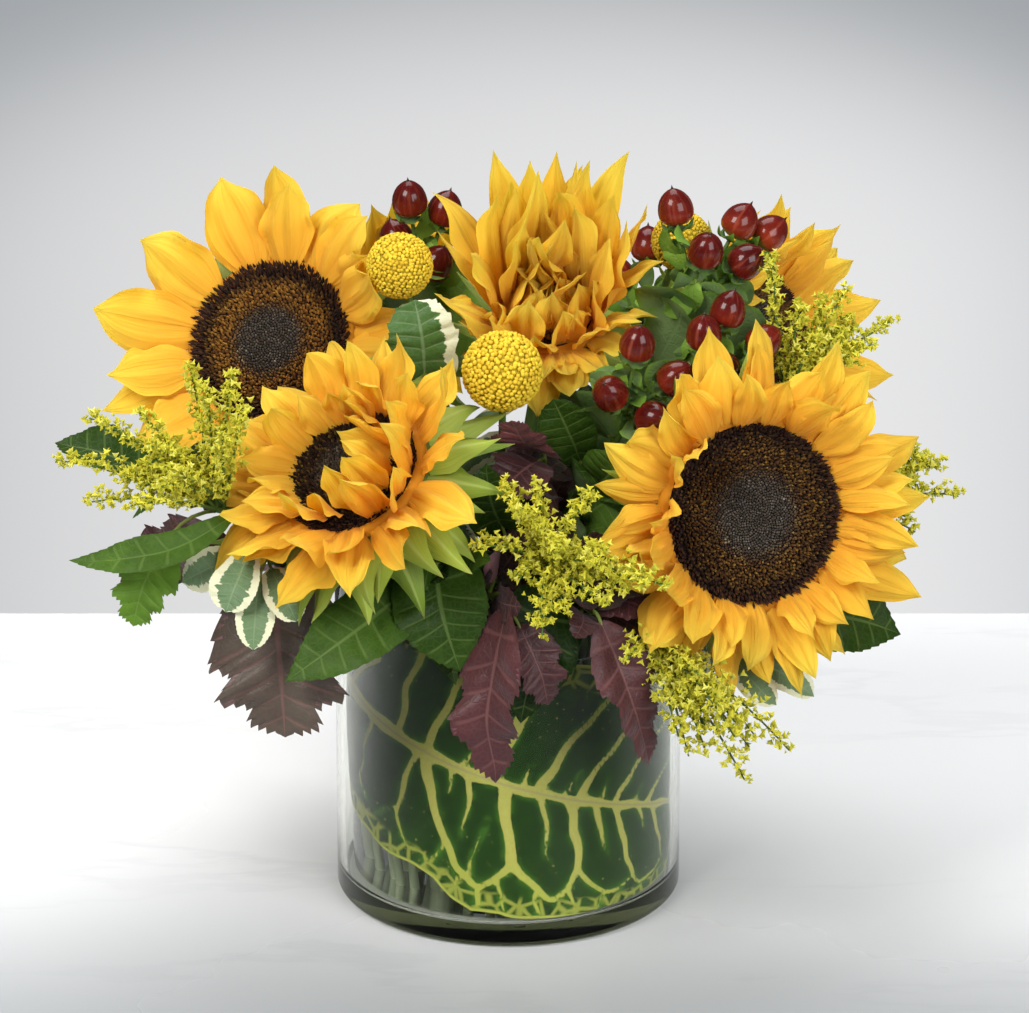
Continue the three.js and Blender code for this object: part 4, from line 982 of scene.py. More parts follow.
def discFinish():
    # charcoal buds at the middle, then brown florets flecked with gold, almost black at the rim
    finish = Finish("seed_disc", {"Specular IOR Level": 0.35})
    tone, gilt, share = finish.trait(0), finish.trait(1), finish.trait(2)
    grain = finish.noise(finish.place(), 900.0, 2)
    middle = finish.ramp(tone, (0.0, (0.060, 0.048, 0.036)), (0.9, (0.12, 0.10, 0.078)),
                         (0.985, (0.15, 0.13, 0.11)), (1.0, (0.5, 0.47, 0.40)))
    brown = finish.ramp(tone + (grain - 0.5) * 0.4, (0.0, (0.014, 0.005, 0.003)),
                        (0.5, (0.034, 0.013, 0.005)), (0.85, (0.065, 0.030, 0.007)),
                        (0.98, (0.20, 0.12, 0.014)))
    golden = finish.mix(tone, (0.15, 0.052, 0.008), (0.55, 0.27, 0.04))
    rim = finish.mix(tone, (0.010, 0.003, 0.002), (0.060, 0.017, 0.005))
    ring = share.step(0.35, 0.6) * (1 - share.step(0.7, 0.95))
    colour = finish.over(middle, (share.step(0.3, 0.62), brown), (ring * gilt, golden),
                         (share.step(0.76, 0.96) * 0.8, rim))
    return finish.finished(colour, share.step(0.3, 0.6) * 0.2 + 0.62)


def stemLine(node, end, aim, count=26):
    # the stem's foot is read from its solid; it stands straight through the mouth, then bends
    points = nodePoints(node)
    inside = points[np.hypot(points[:, 0], points[:, 1]) < vaseInner]
    foot = inside[inside[:, 2] < inside[:, 2].min() + 1.2].mean(0)
    top = np.array([*(foot[:2] / headForm["footSpread"]), vase["height"]])
    up = unit(top - foot)
    reach = np.linalg.norm(top - end)
    curve = bend(top, top + up * reach * 0.4, end - unit(aim) * reach * 0.35, end,
                 np.linspace(0, 1, count))
    straight = foot + (top - foot) * np.linspace(0, 1, 6)[:-1, None]
    return np.concatenate([straight, curve]), curve


def stemTube(owner, node, end, aim, first, last, sides, **traits):
    # a stem of the radii first to last with its coarse copy, and the curve that it ends in
    line, curve = stemLine(node, end, aim)
    occupy(owner, tubeGrid(line[::3], first))
    return tube(line, np.linspace(first, last, len(line)), sides, **traits), curve


def makeHeadStem(name, head, turn, at, finish):
    top = headForm["back"]
    shoulder = head["disc"] + headForm["ring"] + headForm["lip"]
    share = np.linspace(0, 1, 12)
    neck, deep = headForm["neck"], headForm["cup"]
    flare = neck + (shoulder - neck) * np.sin(share * np.pi / 2) ** 1.3
    heights = [top - deep, *(top - deep * (1 - share) ** 1.5), top + 0.2, top]
    cup = turned([0, *flare, shoulder * 0.9, 0], heights, 48, tone=0.5)
    parts = [moved(cup, turn, at)]
    face = turn[:, 2]
    end = at - face * (headForm["depth"] + headForm["cup"] - 1.2)
    parts.append(stemTube(name, f"{name}_stem", end, face, *headForm["stem"], 16, tone=0.35)[0])
    gather(f"{name}_green", parts, [finish], "green_stem", [f"{name}_stem"])


def makeBracts(name, head, turn, at):
    random = np.random.default_rng(head["seed"] + 100)
    bracts = head["bracts"]
    ranks = bracts.get("ranks", 2)
    each = bracts["count"] // ranks
    for rank in range(ranks):
        for k in range(each):
            draw = random.random(10)
            own = {
                **varied(bracts, bractVary, draw), "phase": wholeTurn * draw[7],
                "fold": 0.2, "hand": 1, "blunt": 0.7 + 0.3 * draw[9],
                "angle": 2 * np.pi * (k + 0.37 * rank) / each + 0.2 * (draw[0] - 0.5),
                "length": bracts["length"] * (0.85 + 0.3 * draw[1]), "width": bracts["width"],
                "lift": bracts["lift"] - 12 * rank + 14 * (draw[2] - 0.5),
                "radius": head["disc"] + headForm["ring"] * 0.6,
                "height": headForm["back"] - headForm["cup"] * (0.12 + 0.16 * rank),
            }

            def make(strain):
                tried = dict(own)
                tried["lift"] -= 45 * strain
                tried["curl"] -= 20 * strain
                tried["length"] *= 1 - 0.35 * strain
                return rayBlade(turn, at, tried, bractForm, tone=draw[8], zone=1.0)

            blade = settle(name, make, 14)
            if blade:
                gather(f"{name}_green", [blade["part"]])


def ovalGrid(radius, half, rows, columns):  # the coarse surface of an oval standing on its z
    down, around = np.linspace(0, np.pi, rows)[:, None], np.linspace(0, 2 * np.pi, columns)
    return polar(np.sin(down), around, np.cos(down)) * [radius, radius, half]


def tubeGrid(line, radius, sides=5):  # the coarse surface of a stem
    return roundRings(line, radius, np.linspace(0, 2 * np.pi, sides))


def stemFinish():
    # fresh green, paler and more yellow on the bracts, with fine ribs along the stem
    finish = Finish("green_stem", {"Specular IOR Level": 0.4})
    u, v = finish.uv(0), finish.uv(1)
    tone, bract = finish.trait(0), finish.trait(2)
    ribs = finish.noise(finish.vector(u * 30 + tone * 40, v * 1.5), 1.0, 3)
    mottle = finish.noise(finish.place(), 240.0, 3)
    stalk = finish.mix(ribs, (0.06, 0.13, 0.02), (0.16, 0.27, 0.05))
    green = finish.mix(tone * 0.6 + ribs * 0.7 - 0.15, (0.12, 0.22, 0.014), (0.44, 0.54, 0.06))
    midrib = 1 - abs(u - 0.5).step(0.02, 0.10)
    green = finish.over(green, (midrib * 0.5, (0.46, 0.58, 0.16)),
                        (v.step(0.86, 0.98) * 0.4, (0.42, 0.34, 0.12)))
    # below the rim a stem is darkened by painted shade, and near its foot paled by painted light
    height = finish.coordinate(finish.place(), 2)
    colour = finish.over(stalk, (bract, green), (mottle.step(0.55, 0.8) * 0.2, (0.30, 0.42, 0.10)),
                         ((1 - height.step(0.09, 0.13)) * 0.8, (0.040, 0.055, 0.010)),
                         ((1 - height.step(0.03, 0.06)) * 0.85, (0.42, 0.48, 0.30)))
    through = (0.16, bract, (0.10, 0.18, 0.035), (0.30, 0.40, 0.07))
    return finish.finished(colour, 0.45 + ribs * 0.15, finish.bump(ribs, 0.5, 0.5), through)


# Button flowers: a ball of florets on a thin bare stem
buttons = {
    "button_flower_left": {"radius": 12.0, "lean": (-0.25, -0.1, 1)},
    "button_flower_front": {"radius": 14.5, "lean": (0, -0.45, 1)},
    "button_flower_right": {"radius": 11.0, "lean": (0.35, 0.1, 1)},
    "button_flower_back": {"radius": 12.5, "lean": (0.1, 0.6, 1)},
}
buttonStalk = 1.3
beadCount = 820


def buttonFinish():
    finish = Finish("button_flower", {"Specular IOR Level": 0.25})
    tone, depth = finish.trait(0), finish.trait(2)
    grain = finish.noise(finish.place(), 1400.0, 2)
    colour = finish.mix(tone, (0.66, 0.42, 0.018), (0.88, 0.64, 0.04))
    # the core between the beads (zone 1) is darker ochre: painted shade in the gaps
    colour = finish.over(colour, (grain.step(0.45, 0.75) * 0.35, (0.98, 0.82, 0.10)),
                         (depth, (0.52, 0.36, 0.015)))
    through = (0.1, tone, (0.66, 0.42, 0.018), (0.88, 0.64, 0.04))
    return finish.finished(colour, 0.65 + grain * 0.2, finish.bump(grain, 0.5, 0.3), through)


def makeButtons(green):
    skin = buttonFinish()
    for name, ball, random in seeded(buttons, 300):
        low, high = nodeBox(f"{name}_head")
        at, radius, lean = (low + high) / 2, ball["radius"], unit(ball["lean"])
        z = 1 - 2 * (np.arange(beadCount) + 0.5) / beadCount
        flat = np.sqrt(1 - z * z)
        angle = np.arange(beadCount) * goldenAngle
        normals = unit(polar(flat, angle, z) + 0.07 * (random.random((beadCount, 3)) - 0.5))
        normals = normals @ standing(lean[None], np.zeros(1))[0].T
        proud = radius * (0.935 + 0.02 * random.random(beadCount))
        frames = standing(normals, random.random(beadCount) * wholeTurn)
        places = normals * proud[:, None]
        wide = 1.16 * radius * math.sqrt(4 * math.pi / beadCount) / 2
        sizes = wide * np.stack([low + (high - low) * random.random(beadCount)
                                 for low, high in ((0.9, 1.1), (0.9, 1.1), (0.75, 1.05))], -1)
        bead = turned([0, 1.0, 0.68, 0], [-0.6, 0.2, 0.82, 1.0], 5)
        tones = random.random(beadCount)
        # the core seen between the beads carries the painted shade of the gaps
        core = turned(radius * 0.93 * np.sin(np.linspace(0, np.pi, 15)),
                      -radius * 0.93 * np.cos(np.linspace(0, np.pi, 15)), 32, tone=0.1, zone=1.0)
        parts = [scattered(bead, places, frames, sizes, tones), core]
        for made in parts:
            made["points"] += at
        makePiece(f"{name}_ball", parts, [skin], "button", [f"{name}_head"])
        occupy(name, ovalGrid(radius, radius, 9, 11) + at)
        stalk = stemTube(name, f"{name}_stem", at - lean * (radius - 1), lean,
                         buttonStalk, buttonStalk, 10, tone=0.6)[0]
        makePiece(f"{name}_stalk", [stalk], [green], "green_stem", [f"{name}_stem"])


# Berry sprays: where the stem ends and how it comes in, berries by their middle, leaves by tip
berrySprays = {
    "berry_spray_left": {
        "end": (-33, 42, 212), "aim": (-0.2, 0.1, 1),
        "berries": [(-36, 40, 253), (-23, 46, 247), (-41, 46, 236), (-26, 38, 229)],
        "leaves": [(-48, 34, 232), (-14, 50, 224), (-38, 62, 222)],
    },
    "berry_spray_right": {
        "end": (66, 2, 226), "aim": (0.4, 0, 1),
        "berries": [(60, 4, 262), (71, -8, 250), (84, 12, 254), (95, 17, 248), (86, 0, 243)],
        "leaves": [(52, -12, 240), (64, -20, 234), (90, -6, 228), (50, 14, 232)],
    },
    "berry_spray_front": {
        "end": (42, -36, 196), "aim": (0.2, -0.4, 1),
        "berries": [(46, -45, 228), (36, -50, 211), (60, -40, 213), (52, -50, 201)],
        "leaves": [(26, -46, 202), (60, -34, 196), (28, -30, 206)],
    },
    "berry_spray_middle": {
        "end": (70, -22, 202), "aim": (0.3, -0.1, 1),
        "berries": [(70, -26, 225), (79, -18, 231), (92, -16, 218), (77, -31, 213)],
        "leaves": [(56, -24, 214), (88, -34, 210), (92, -6, 204)],
    },
    "berry_spray_back": {
        "end": (52, 70, 192), "aim": (0.4, 0.5, 1),
        "berries": [(52, 84, 220), (66, 80, 214), (40, 86, 208), (64, 92, 198)],
        "leaves": [(34, 76, 200), (74, 74, 200), (56, 92, 186)],
    },
}
berry = {"length": 14.2, "radius": 6.5, "stalk": 0.75, "stem": (1.7, 1.2), "leaves": 5, "sepals": 5}


def berryFinish():
    # burgundy, lighter and redder where the light has not reached: towards its green base
    finish = Finish("berry", {"Coat Weight": 0.4, "Coat Roughness": 0.05,
                              "Specular IOR Level": 0.1})
    tone, u, v = finish.trait(0), finish.uv(0), finish.uv(1)
    blotch = finish.noise(finish.place(), 130.0, 3)
    speck = finish.noise(finish.place(), 900.0, 2)
    wrap = abs(u - 0.5) * 2
    streak = finish.noise(finish.vector(wrap * 9 + tone * 40, v * 1.2), 1.0, 3)
    dark = finish.mix(tone, (0.045, 0.003, 0.003), (0.10, 0.006, 0.004))
    bright = finish.mix(tone, (0.22, 0.014, 0.008), (0.34, 0.042, 0.012))
    foot = (1 - v.step(0.0, 0.16)) * 0.6 * tone.step(0.3, 0.7)
    colour = finish.over(dark, ((1 - v.step(0.05, 0.6)) * 0.7 + (blotch - 0.5) * 0.7, bright),
                         (streak.step(0.5, 0.72) * 0.3, (0.50, 0.12, 0.06)),
                         (speck.step(0.62, 0.8) * 0.2, (0.4, 0.10, 0.05)),
                         (foot, (0.30, 0.26, 0.03)), (v.step(0.93, 0.97), (0.03, 0.012, 0.008)))
    return finish.finished(colour, 0.2 + blotch * 0.12)


def aimed(along, facing):  # a frame whose z looks along, and whose x lies square to facing
    z = unit(along)
    x = unit(np.cross(facing, z))
    return np.stack([x, np.cross(z, x), z], axis=-1)


def sepals(base, turn, outwards):  # small leaves that stand open under the fruit
    t = np.linspace(0, 1, 8)
    across = np.linspace(-1, 1, 5)
    half = 2.1 * np.sin(np.pi * (0.12 + 0.87 * t))
    relief = 0.35 * half[:, None] * across[None] ** 2
    reach, rise = (0.8 + 5.6 * t)[:, None], (1.6 * np.sin(t * 2.6) - 2.6 * t**2)[:, None]
    parts = []
    for angle in np.arange(berry["sepals"]) * 2 * math.pi / berry["sepals"] + 0.3:
        side = turn @ np.array([math.cos(angle), math.sin(angle), 0])
        centre = base + side * reach - outwards * rise
        run = unit(np.gradient(centre, axis=0))
        blade = sheetBlade(centre, run, -outwards * np.ones((8, 1)), half, across, relief,
                           0 * relief, 0.5, tone=0.6, zone=0.75, skin=2)
        parts.append(blade["part"])
    return parts


def makeBerries(skins):
    # the fruit is a drop turned round its axis, with a short dry tip
    share = np.array([0, 0.02, 0.07, 0.15, 0.25, 0.36, 0.48, 0.6,
                      0.71, 0.81, 0.89, 0.95, 0.985, 1.0, 1.1])
    width = np.array([0, 0.3, 0.62, 0.85, 0.97, 1.0, 0.985, 0.93,
                      0.83, 0.68, 0.5, 0.31, 0.13, 0.075, 0])
    drop = turned(width * berry["radius"], (share - 0.5) * berry["length"] * 0.98, 20)
    for name, spray, random in seeded(berrySprays, 500):
        end = np.array(spray["end"], float)
        stem, spray["curve"] = stemTube(name, name, end, spray["aim"], *berry["stem"], 10,
                                        tone=0.3, skin=1)
        spray["stalks"], parts = [], [stem]
        for at in np.array(spray["berries"], float):
            outwards = unit(at - end)
            turn = aimed(outwards, random.normal(size=3))
            traits = np.tile([random.random(), 0, 0], (len(drop["points"]), 1))
            parts.append(moved({**drop, "traits": traits}, turn, at))
            base = at - outwards * berry["length"] * 0.5
            middle = (end + base) / 2 + random.normal(size=3) * 1.2
            stalk = bow(end, middle, base + outwards * 0.6, np.linspace(0, 1, 12))
            spray["stalks"].append(stalk)
            parts.append(tube(stalk, berry["stalk"], 6, skin=1))
            parts += sepals(base, turn, outwards)
            occupy(name, ovalGrid(berry["radius"], -berry["length"] / 2, 6, 8) @ turn.T + at)
        knot = turned([0, 1.6, 2.0, 1.4, 0], [-2, -1, 0, 1.2, 1.8], 10, tone=0.3, skin=1)
        parts.append(moved(knot, np.eye(3), end))
        gather(f"{name}_fruit", parts, skins, "berry", [name])


def makeBerryLeaves():
    # the spray's own leaves along its stem, and pairs of small rounded ones along each stalk
    for name, spray, random in seeded(berrySprays, 540):
        curve, end = spray["curve"], np.array(spray["end"], float)
        wanted = []
        for k, tip in enumerate(spray["leaves"]):
            knot = curve[int((len(curve) - 1) * max(0.45, 0.86 - 0.12 * k))]
            wanted.append((knot, np.array(tip, float), random.uniform(0.75, 0.9)))
        for stalk in spray["stalks"]:
            for k in range(berry["leaves"]):
                knot = stalk[int(random.integers(2, 9))]
                way = unit(unit(knot - end) * 0.5 + random.normal(size=3) * 0.8)
                wanted.append((knot, knot + way * random.uniform(11, 17), random.uniform(0.8, 1.0)))
        for knot, tip, shade in wanted:
            foot = knot + (tip - knot) * 0.15
            way = unit(tip - knot)
            face = np.cross(np.cross(way, [0.3, 1, 0.2]), way)
            face = face * (1 if face[2] > 0 else -1) + random.normal(size=3) * 0.3
            half = np.linalg.norm(tip - foot) * random.uniform(0.36, 0.48)
            spec = leaf(foot, tip, face, half, 2.0, shade)
            found = leafParts(name, "small", spec, knot, random, skin=2, most=1, fine=0.5, tries=8)
            gather(f"{name}_fruit", found)


# Goldenrod: where the plume starts and the tips of its sprigs
goldenrods = {
    "goldenrod_left": {
        "end": (-104, -54, 168), "aim": (-0.8, -0.5, 0.4),
        "tips": [(-113, -44, 219), (-130, -60, 207), (-148, -60, 205), (-160, -58, 188),
                 (-149, -68, 176), (-122, -78, 186)],
        "more": [(-97, -66, 224), (-106, -64, 217), (-100, -82, 206), (-92, -80, 216),
                 (-133, -84, 181), (-119, -82, 193)],
    },
    "goldenrod_front": {
        "end": (14, -72, 152), "aim": (0.1, -0.8, 0.4),
        "tips": [(-6, -78, 194), (30, -92, 188), (56, -104, 158), (-11, -92, 168), (12, -99, 138),
                 (34, -106, 152)],
        "more": [(18, -104, 174), (32, -106, 167), (48, -106, 160), (11, -100, 142), (2, -94, 184)],
    },
    "goldenrod_low": {
        "end": (52, -74, 124), "aim": (0.5, -0.8, -0.2),
        "tips": [(100, -90, 90), (84, -98, 82), (64, -100, 92), (80, -106, 102)],
        "more": [(66, -102, 134), (82, -100, 124), (42, -98, 128), (52, -100, 112), (90, -96, 108)],
    },
    "goldenrod_right_top": {
        "end": (100, -10, 190), "aim": (0.7, -0.2, 0.7),
        "tips": [(94, -4, 247), (139, 6, 218), (122, 0, 232), (126, -10, 208)],
        "more": [(105, -10, 230), (112, -12, 218), (131, -8, 214)],
    },
    "goldenrod_right": {
        "end": (126, -6, 146), "aim": (1, -0.1, 0.2),
        "tips": [(164, 0, 152), (149, 6, 168), (148, -10, 142), (158, 12, 160)],
    },
    "goldenrod_back": {
        "end": (20, 80, 158), "aim": (0.1, 0.8, 0.5),
        "tips": [(18, 100, 206), (40, 98, 200), (50, 112, 172), (10, 116, 172)],
    },
}
plume = {"sprigRadius": 7.0, "arch": 6.0, "bare": 0.16, "spacing": 1.6, "extra": 9,
         "cluster": 7, "tuft": (1.0, 1.85), "stalk": 0.7, "stem": (1.7, 1.2)}


def goldenrodFinish():
    # lemon yellow tufts, more olive in the buds; darker olive towards their feet, partly their own
    # green and partly painted shade among the tufts
    finish = Finish("goldenrod", {"Specular IOR Level": 0.2})
    tone, height = finish.trait(0), finish.trait(2)
    grain = finish.noise(finish.place(), 1500.0, 2)
    colour = finish.ramp(tone + (grain - 0.5) * 0.3, (0.0, (0.40, 0.42, 0.03)),
                         (0.35, (0.78, 0.72, 0.05)), (0.7, (0.95, 0.87, 0.075)),
                         (1.0, (1.0, 0.96, 0.22)))
    # towards the tufts' feet: their own green and painted shade
    colour = finish.mix((1 - height) * 0.75, colour, (0.26, 0.32, 0.04))
    through = (0.3, height, (0.30, 0.34, 0.035), (0.88, 0.80, 0.06))
    return finish.finished(colour, 0.7, None, through)


def tuftShape(rays=3):  # a small open star on a pointed foot; its zone is 1 at the tips
    out = np.arange(rays * 2) % 2 == 0
    rim = polar(np.where(out, 1.0, 0.34), circle(rays * 2), np.where(out, 0.35, 0.1))
    ends = [[0, 0, -0.95], [0, 0, 0.22]]
    made = capped(rim[None], ends, np.zeros((rays * 2, 2)), np.zeros((2, 2)))
    made["traits"][:, 2] = np.append(np.where(out, 1.0, 0.7), [0.0, 0.55])
    return made


def plumeSprig(end, tip, random, radius):
    middle = (end + tip) / 2 + np.array([0, 0, plume["arch"] * random.uniform(0.7, 1.5)])
    length = np.linalg.norm(tip - end)
    line = bow(end, middle, tip, np.linspace(0, 1, 16))
    stalk = tube(line, np.linspace(plume["stalk"], 0.3, 16), 6, tone=0.5, skin=1)
    # tufts stand in rows along short side twigs that rise all round the sprig
    twigs = max(int(length * (1 - plume["bare"]) / plume["spacing"]), 4)
    t = plume["bare"] + (1 - plume["bare"]) * (np.arange(twigs) + random.random(twigs)) / twigs
    run = unit(2 * (1 - t)[:, None] * (middle - end) + 2 * t[:, None] * (tip - middle))
    frames = standing(run, np.arange(twigs) * goldenAngle + random.random(twigs))
    twig = unit(frames[:, :, 0] + [0, 0, 0.7] + 0.55 * run)
    size = radius * (0.3 + 0.7 * np.sin(np.pi * np.clip(0.2 + 0.72 * t, 0, 1)))
    size = size * random.uniform(0.6, 1.25, twigs)
    each = plume["cluster"]
    count = twigs * each
    share = np.tile((np.arange(each) + 0.6) / each, twigs) + random.uniform(-0.05, 0.05, count)
    t, twig, size = (np.repeat(a, each, axis=0) for a in (t, twig, size))
    places = bow(end, middle, tip, t)
    outwards = unit(twig + 0.5 * random.normal(size=(count, 3)))
    away = (share * size)[:, None] * twig + 0.9 * random.normal(size=(count, 3)) * [1, 1, 0.6]
    tufts = standing(outwards, random.random(count) * wholeTurn)
    low, high = plume["tuft"]
    scale = random.uniform(low, high, count) * (0.7 + 0.35 * share)
    tone = np.clip(random.normal(0.5, 0.2, count) + 0.3 * (share - 0.5), 0, 1)
    tuft = tuftShape()
    made = scattered(tuft, places + away, tufts, scale, tone)
    made["traits"][:, 2] = np.tile(tuft["traits"][:, 2], count)
    return [stalk, made]


def makeGoldenrods(skins):
    for name, spray, random in seeded(goldenrods, 700):
        end = np.array(spray["end"], float)
        line, curve = stemLine(name, end, spray["aim"])
        parts = [tube(line, np.linspace(*plume["stem"], len(line)), 10, tone=0.45, skin=1)]
        tips = [(np.array(tip, float), 1.0) for tip in spray["tips"]]
        tips += [(np.array(tip, float), 0.9) for tip in spray.get("more", [])]
        for _ in range(plume["extra"]):
            a, b = random.choice(len(spray["tips"]), 2, replace=False)
            share = random.uniform(0.3, 0.7)
            tip = tips[a][0] * share + tips[b][0] * (1 - share)
            tips.append((end + (tip - end) * random.uniform(0.62, 0.98), 0.85))
        for tip, size in tips:
            drift = random.normal(size=3)
            foot = curve[-1 - int(random.integers(0, 5))] if size < 1 else end

            def make(strain):
                tried = foot + (tip + drift * 16 * strain - foot) * (1 - 0.25 * strain)
                middle = (foot + tried) / 2 + [0, 0, plume["arch"]]
                way = bow(foot, middle, tried, np.linspace(0.25, 1, 5))
                return {"tip": tried, "surface": tubeGrid(np.repeat(way, 3, axis=0), 3.2, 9)}

            kept = settle(name, make, 16, 6)
            if kept:
                parts += plumeSprig(foot, kept["tip"], random, plume["sprigRadius"] * size)
        gather(f"{name}_plume", parts, skins, "goldenrod", [name])


# Leaves: foot and tip, the way the upper face looks, half width, arch and shade of colour
def leaf(start, tip, face, half, arch, shade, **more):
    return {"start": np.array(start, float), "tip": np.array(tip, float),
            "face": np.array(face, float), "half": half, "arch": arch, "shade": shade, **more}


# Outlines by (along, half width as a share of the widest, drawn forward); teeth a side and their
# depth, pairs of side veins and how strongly the blade swells between them, how far it folds
leafKinds = {
    "oval": dict(
        outline=[(0, 0.16), (0.1, 0.55), (0.3, 0.95), (0.5, 1.0), (0.7, 0.84), (0.87, 0.5), (1, 0)],
        teeth=15, tooth=0.035, veins=7, quilt=0.05, fold=0.2, wave=0.07, sweep=0.42),
    "small": dict(
        outline=[(0, 0.2), (0.12, 0.6), (0.33, 0.97), (0.55, 0.98), (0.78, 0.7), (0.92, 0.36),
                 (1, 0)],
        teeth=1, tooth=0.0, veins=5, quilt=0.03, fold=0.22, wave=0.08, sweep=0.4),
    "lance": dict(
        outline=[(0, 0.14), (0.12, 0.5), (0.3, 0.88), (0.5, 1.0), (0.68, 0.84), (0.85, 0.46),
                 (1, 0)],
        teeth=17, tooth=0.05, veins=9, quilt=0.035, fold=0.22, wave=0.08, sweep=0.6),
    "heart": dict(
        outline=[(0, 0.35), (0.06, 0.8), (0.18, 0.98), (0.34, 1.0), (0.55, 0.82), (0.75, 0.5),
                 (0.9, 0.2), (1, 0)],
        teeth=13, tooth=0.035, veins=7, quilt=0.06, fold=0.18, wave=0.10, sweep=0.45),
    "lobed": dict(
        outline=[(0, 0.12), (0.1, 0.5), (0.2, 0.88), (0.3, 1.0), (0.38, 0.7), (0.44, 0.62),
                 (0.55, 0.86), (0.63, 0.62), (0.71, 0.42), (0.8, 0.44), (0.9, 0.24), (1, 0)],
        teeth=18, tooth=0.11, veins=7, quilt=0.12, fold=0.16, wave=0.14, sweep=0.62),
    "scalloped": dict(
        outline=[(0, 0.3), (0.08, 0.8), (0.15, 0.94), (0.22, 0.82), (0.32, 0.98), (0.42, 1.0),
                 (0.5, 0.84), (0.6, 0.88), (0.68, 0.8), (0.76, 0.6), (0.86, 0.56), (0.94, 0.32),
                 (1, 0)],
        teeth=9, tooth=0.07, veins=6, quilt=0.10, fold=0.16, wave=0.12, sweep=0.4),
}


def leafBlade(kind, spec, own, fine=1.0, **traits):
    form = leafKinds[kind]
    teeth = max(int(form["teeth"] * fine), 3)
    rows = (4 if fine >= 1 else 2) * teeth + 1 if form["tooth"] else int(10 + 10 * fine)
    columns = 11 if fine >= 1 else 7
    t = np.linspace(0, 1, rows)
    s = np.linspace(-1, 1, columns)[None]
    start, tip, facing = spec["start"], spec["tip"], unit(spec["face"])
    middle = (start + tip) / 2 + facing * spec["arch"] * 1.6
    centre = bow(start, middle, tip, t)
    length = np.linalg.norm(tip - start)
    droop = own["droop"] * length * ease(t, 0.55, 1)
    centre = centre - facing * droop[:, None]
    run = unit(np.gradient(centre, axis=0))
    side = unit(np.cross(facing * np.ones_like(run), run))
    centre = centre + side * (own["sway"] * length * np.sin(np.pi * t) * 0.5)[:, None]
    run = unit(np.gradient(centre, axis=0))
    twist = own["twist"] * (t - 0.3)
    face = unit(facing - run * (run @ facing)[:, None])
    side = np.cross(face, run)
    face = np.cos(twist)[:, None] * face + np.sin(twist)[:, None] * side
    half = np.interp(t, *zip(*form["outline"]))
    for _ in range(2):
        half[1:-1] = (half[:-2] + half[1:-1] * 2 + half[2:]) / 4
    half[-1] = 0.004
    half = half * spec["half"] * own["width"]
    saw = (t * teeth) % 1.0
    blunt = np.abs(s) ** 6
    bite = form["tooth"] * np.where(saw < 0.01, 0.0, saw)[:, None] * ease(t, 0.0, 0.05)[:, None]
    bite = bite * ease(1 - t, 0.0, 0.05)[:, None]
    tt = t[:, None]
    bell = np.abs(s) * (1 - np.abs(s) ** 4)
    shift = np.where(s > 0, own["shift"], -own["shift"])
    ridge = np.abs(np.sin(np.pi * (tt * form["veins"] + 0.25 * shift)))
    relief = form["fold"] * own["fold"] * (np.sqrt(s * s + 0.01) - 0.1)
    relief = relief + form["quilt"] * (ridge - 0.5) * bell * 1.6 * ease(tt, 0, 0.1)
    relief = relief + form["wave"] * np.sin(tt * 11 + own["phase"] + np.sign(s)) * s * s
    relief = relief + own["roll"] * np.abs(s) ** 3
    width = half[:, None]
    relief = relief * width
    back = -0.35 * (1 - ease(tt, 0.0, 0.3))
    sweep = (form["sweep"] * ease(tt, 0.02, 0.3) + back) * np.abs(s) * width
    forward = sweep - 0.3 * form["sweep"] * np.abs(s) ** 2 * width
    forward = forward + bite * 0.9 * blunt * spec["half"]
    forward = forward * (1 - ease(tt, 0.9, 1.0))
    across = s * (1 + bite * blunt * spec["half"] / np.maximum(width, 0.5))
    return sheetBlade(centre, run, face, half, across, relief, forward, 0.55, **traits)


def leafParts(owner, kind, spec, attach, random, skin=0, most=3, fine=1.0, stalkSkin=1, tries=16):
    # a leaf bent clear of its neighbours, with the stalk that joins it to its stem
    draw = random.random(12)
    drift = draw[:3] - 0.5

    def make(strain):
        tried = dict(spec)
        tried["tip"] = spec["tip"] + drift * 40 * strain
        tried["start"] = spec["start"] + drift * 10 * strain
        tried["half"] = spec["half"] * (1 - 0.35 * strain)
        own = {"droop": 0.12 * draw[3] + 0.02, "sway": 0.22 * (draw[4] - 0.5),
               "twist": 0.7 * (draw[5] - 0.5), "width": 1.0, "shift": draw[6] - 0.5,
               "fold": 0.6 + 0.8 * draw[7], "phase": wholeTurn * draw[8],
               "roll": 0.3 * (draw[9] - 0.6)}
        own.update(spec.get("own", {}))
        blade = leafBlade(kind, tried, own, fine, tone=draw[10], zone=spec["shade"], skin=skin)
        blade["start"] = tried["start"]
        blade["run"] = unit(tried["tip"] - tried["start"])
        return blade

    blade = settle(owner, make, tries, most)
    if not blade:
        return []
    t = np.linspace(0, 1, 9)
    start = blade["start"]
    elbow = start - blade["run"] * np.linalg.norm(start - attach) * 0.45
    way = bow(attach, elbow, start + blade["run"] * 0.8, t)
    stalk = tube(way, np.linspace(0.95, 0.6, 9), 6, tone=0.5, zone=0.5, skin=stalkSkin)
    return [stalk, blade["part"]]


# Leafy stems: slot, kind, the stem's end and how it comes in, then its leaves
def leafy(slot, kind, end, aim, *leaves):
    end = np.array(end, float)
    return {"slot": slot, "kind": kind, "end": end, "aim": aim, "leaves": leaves}


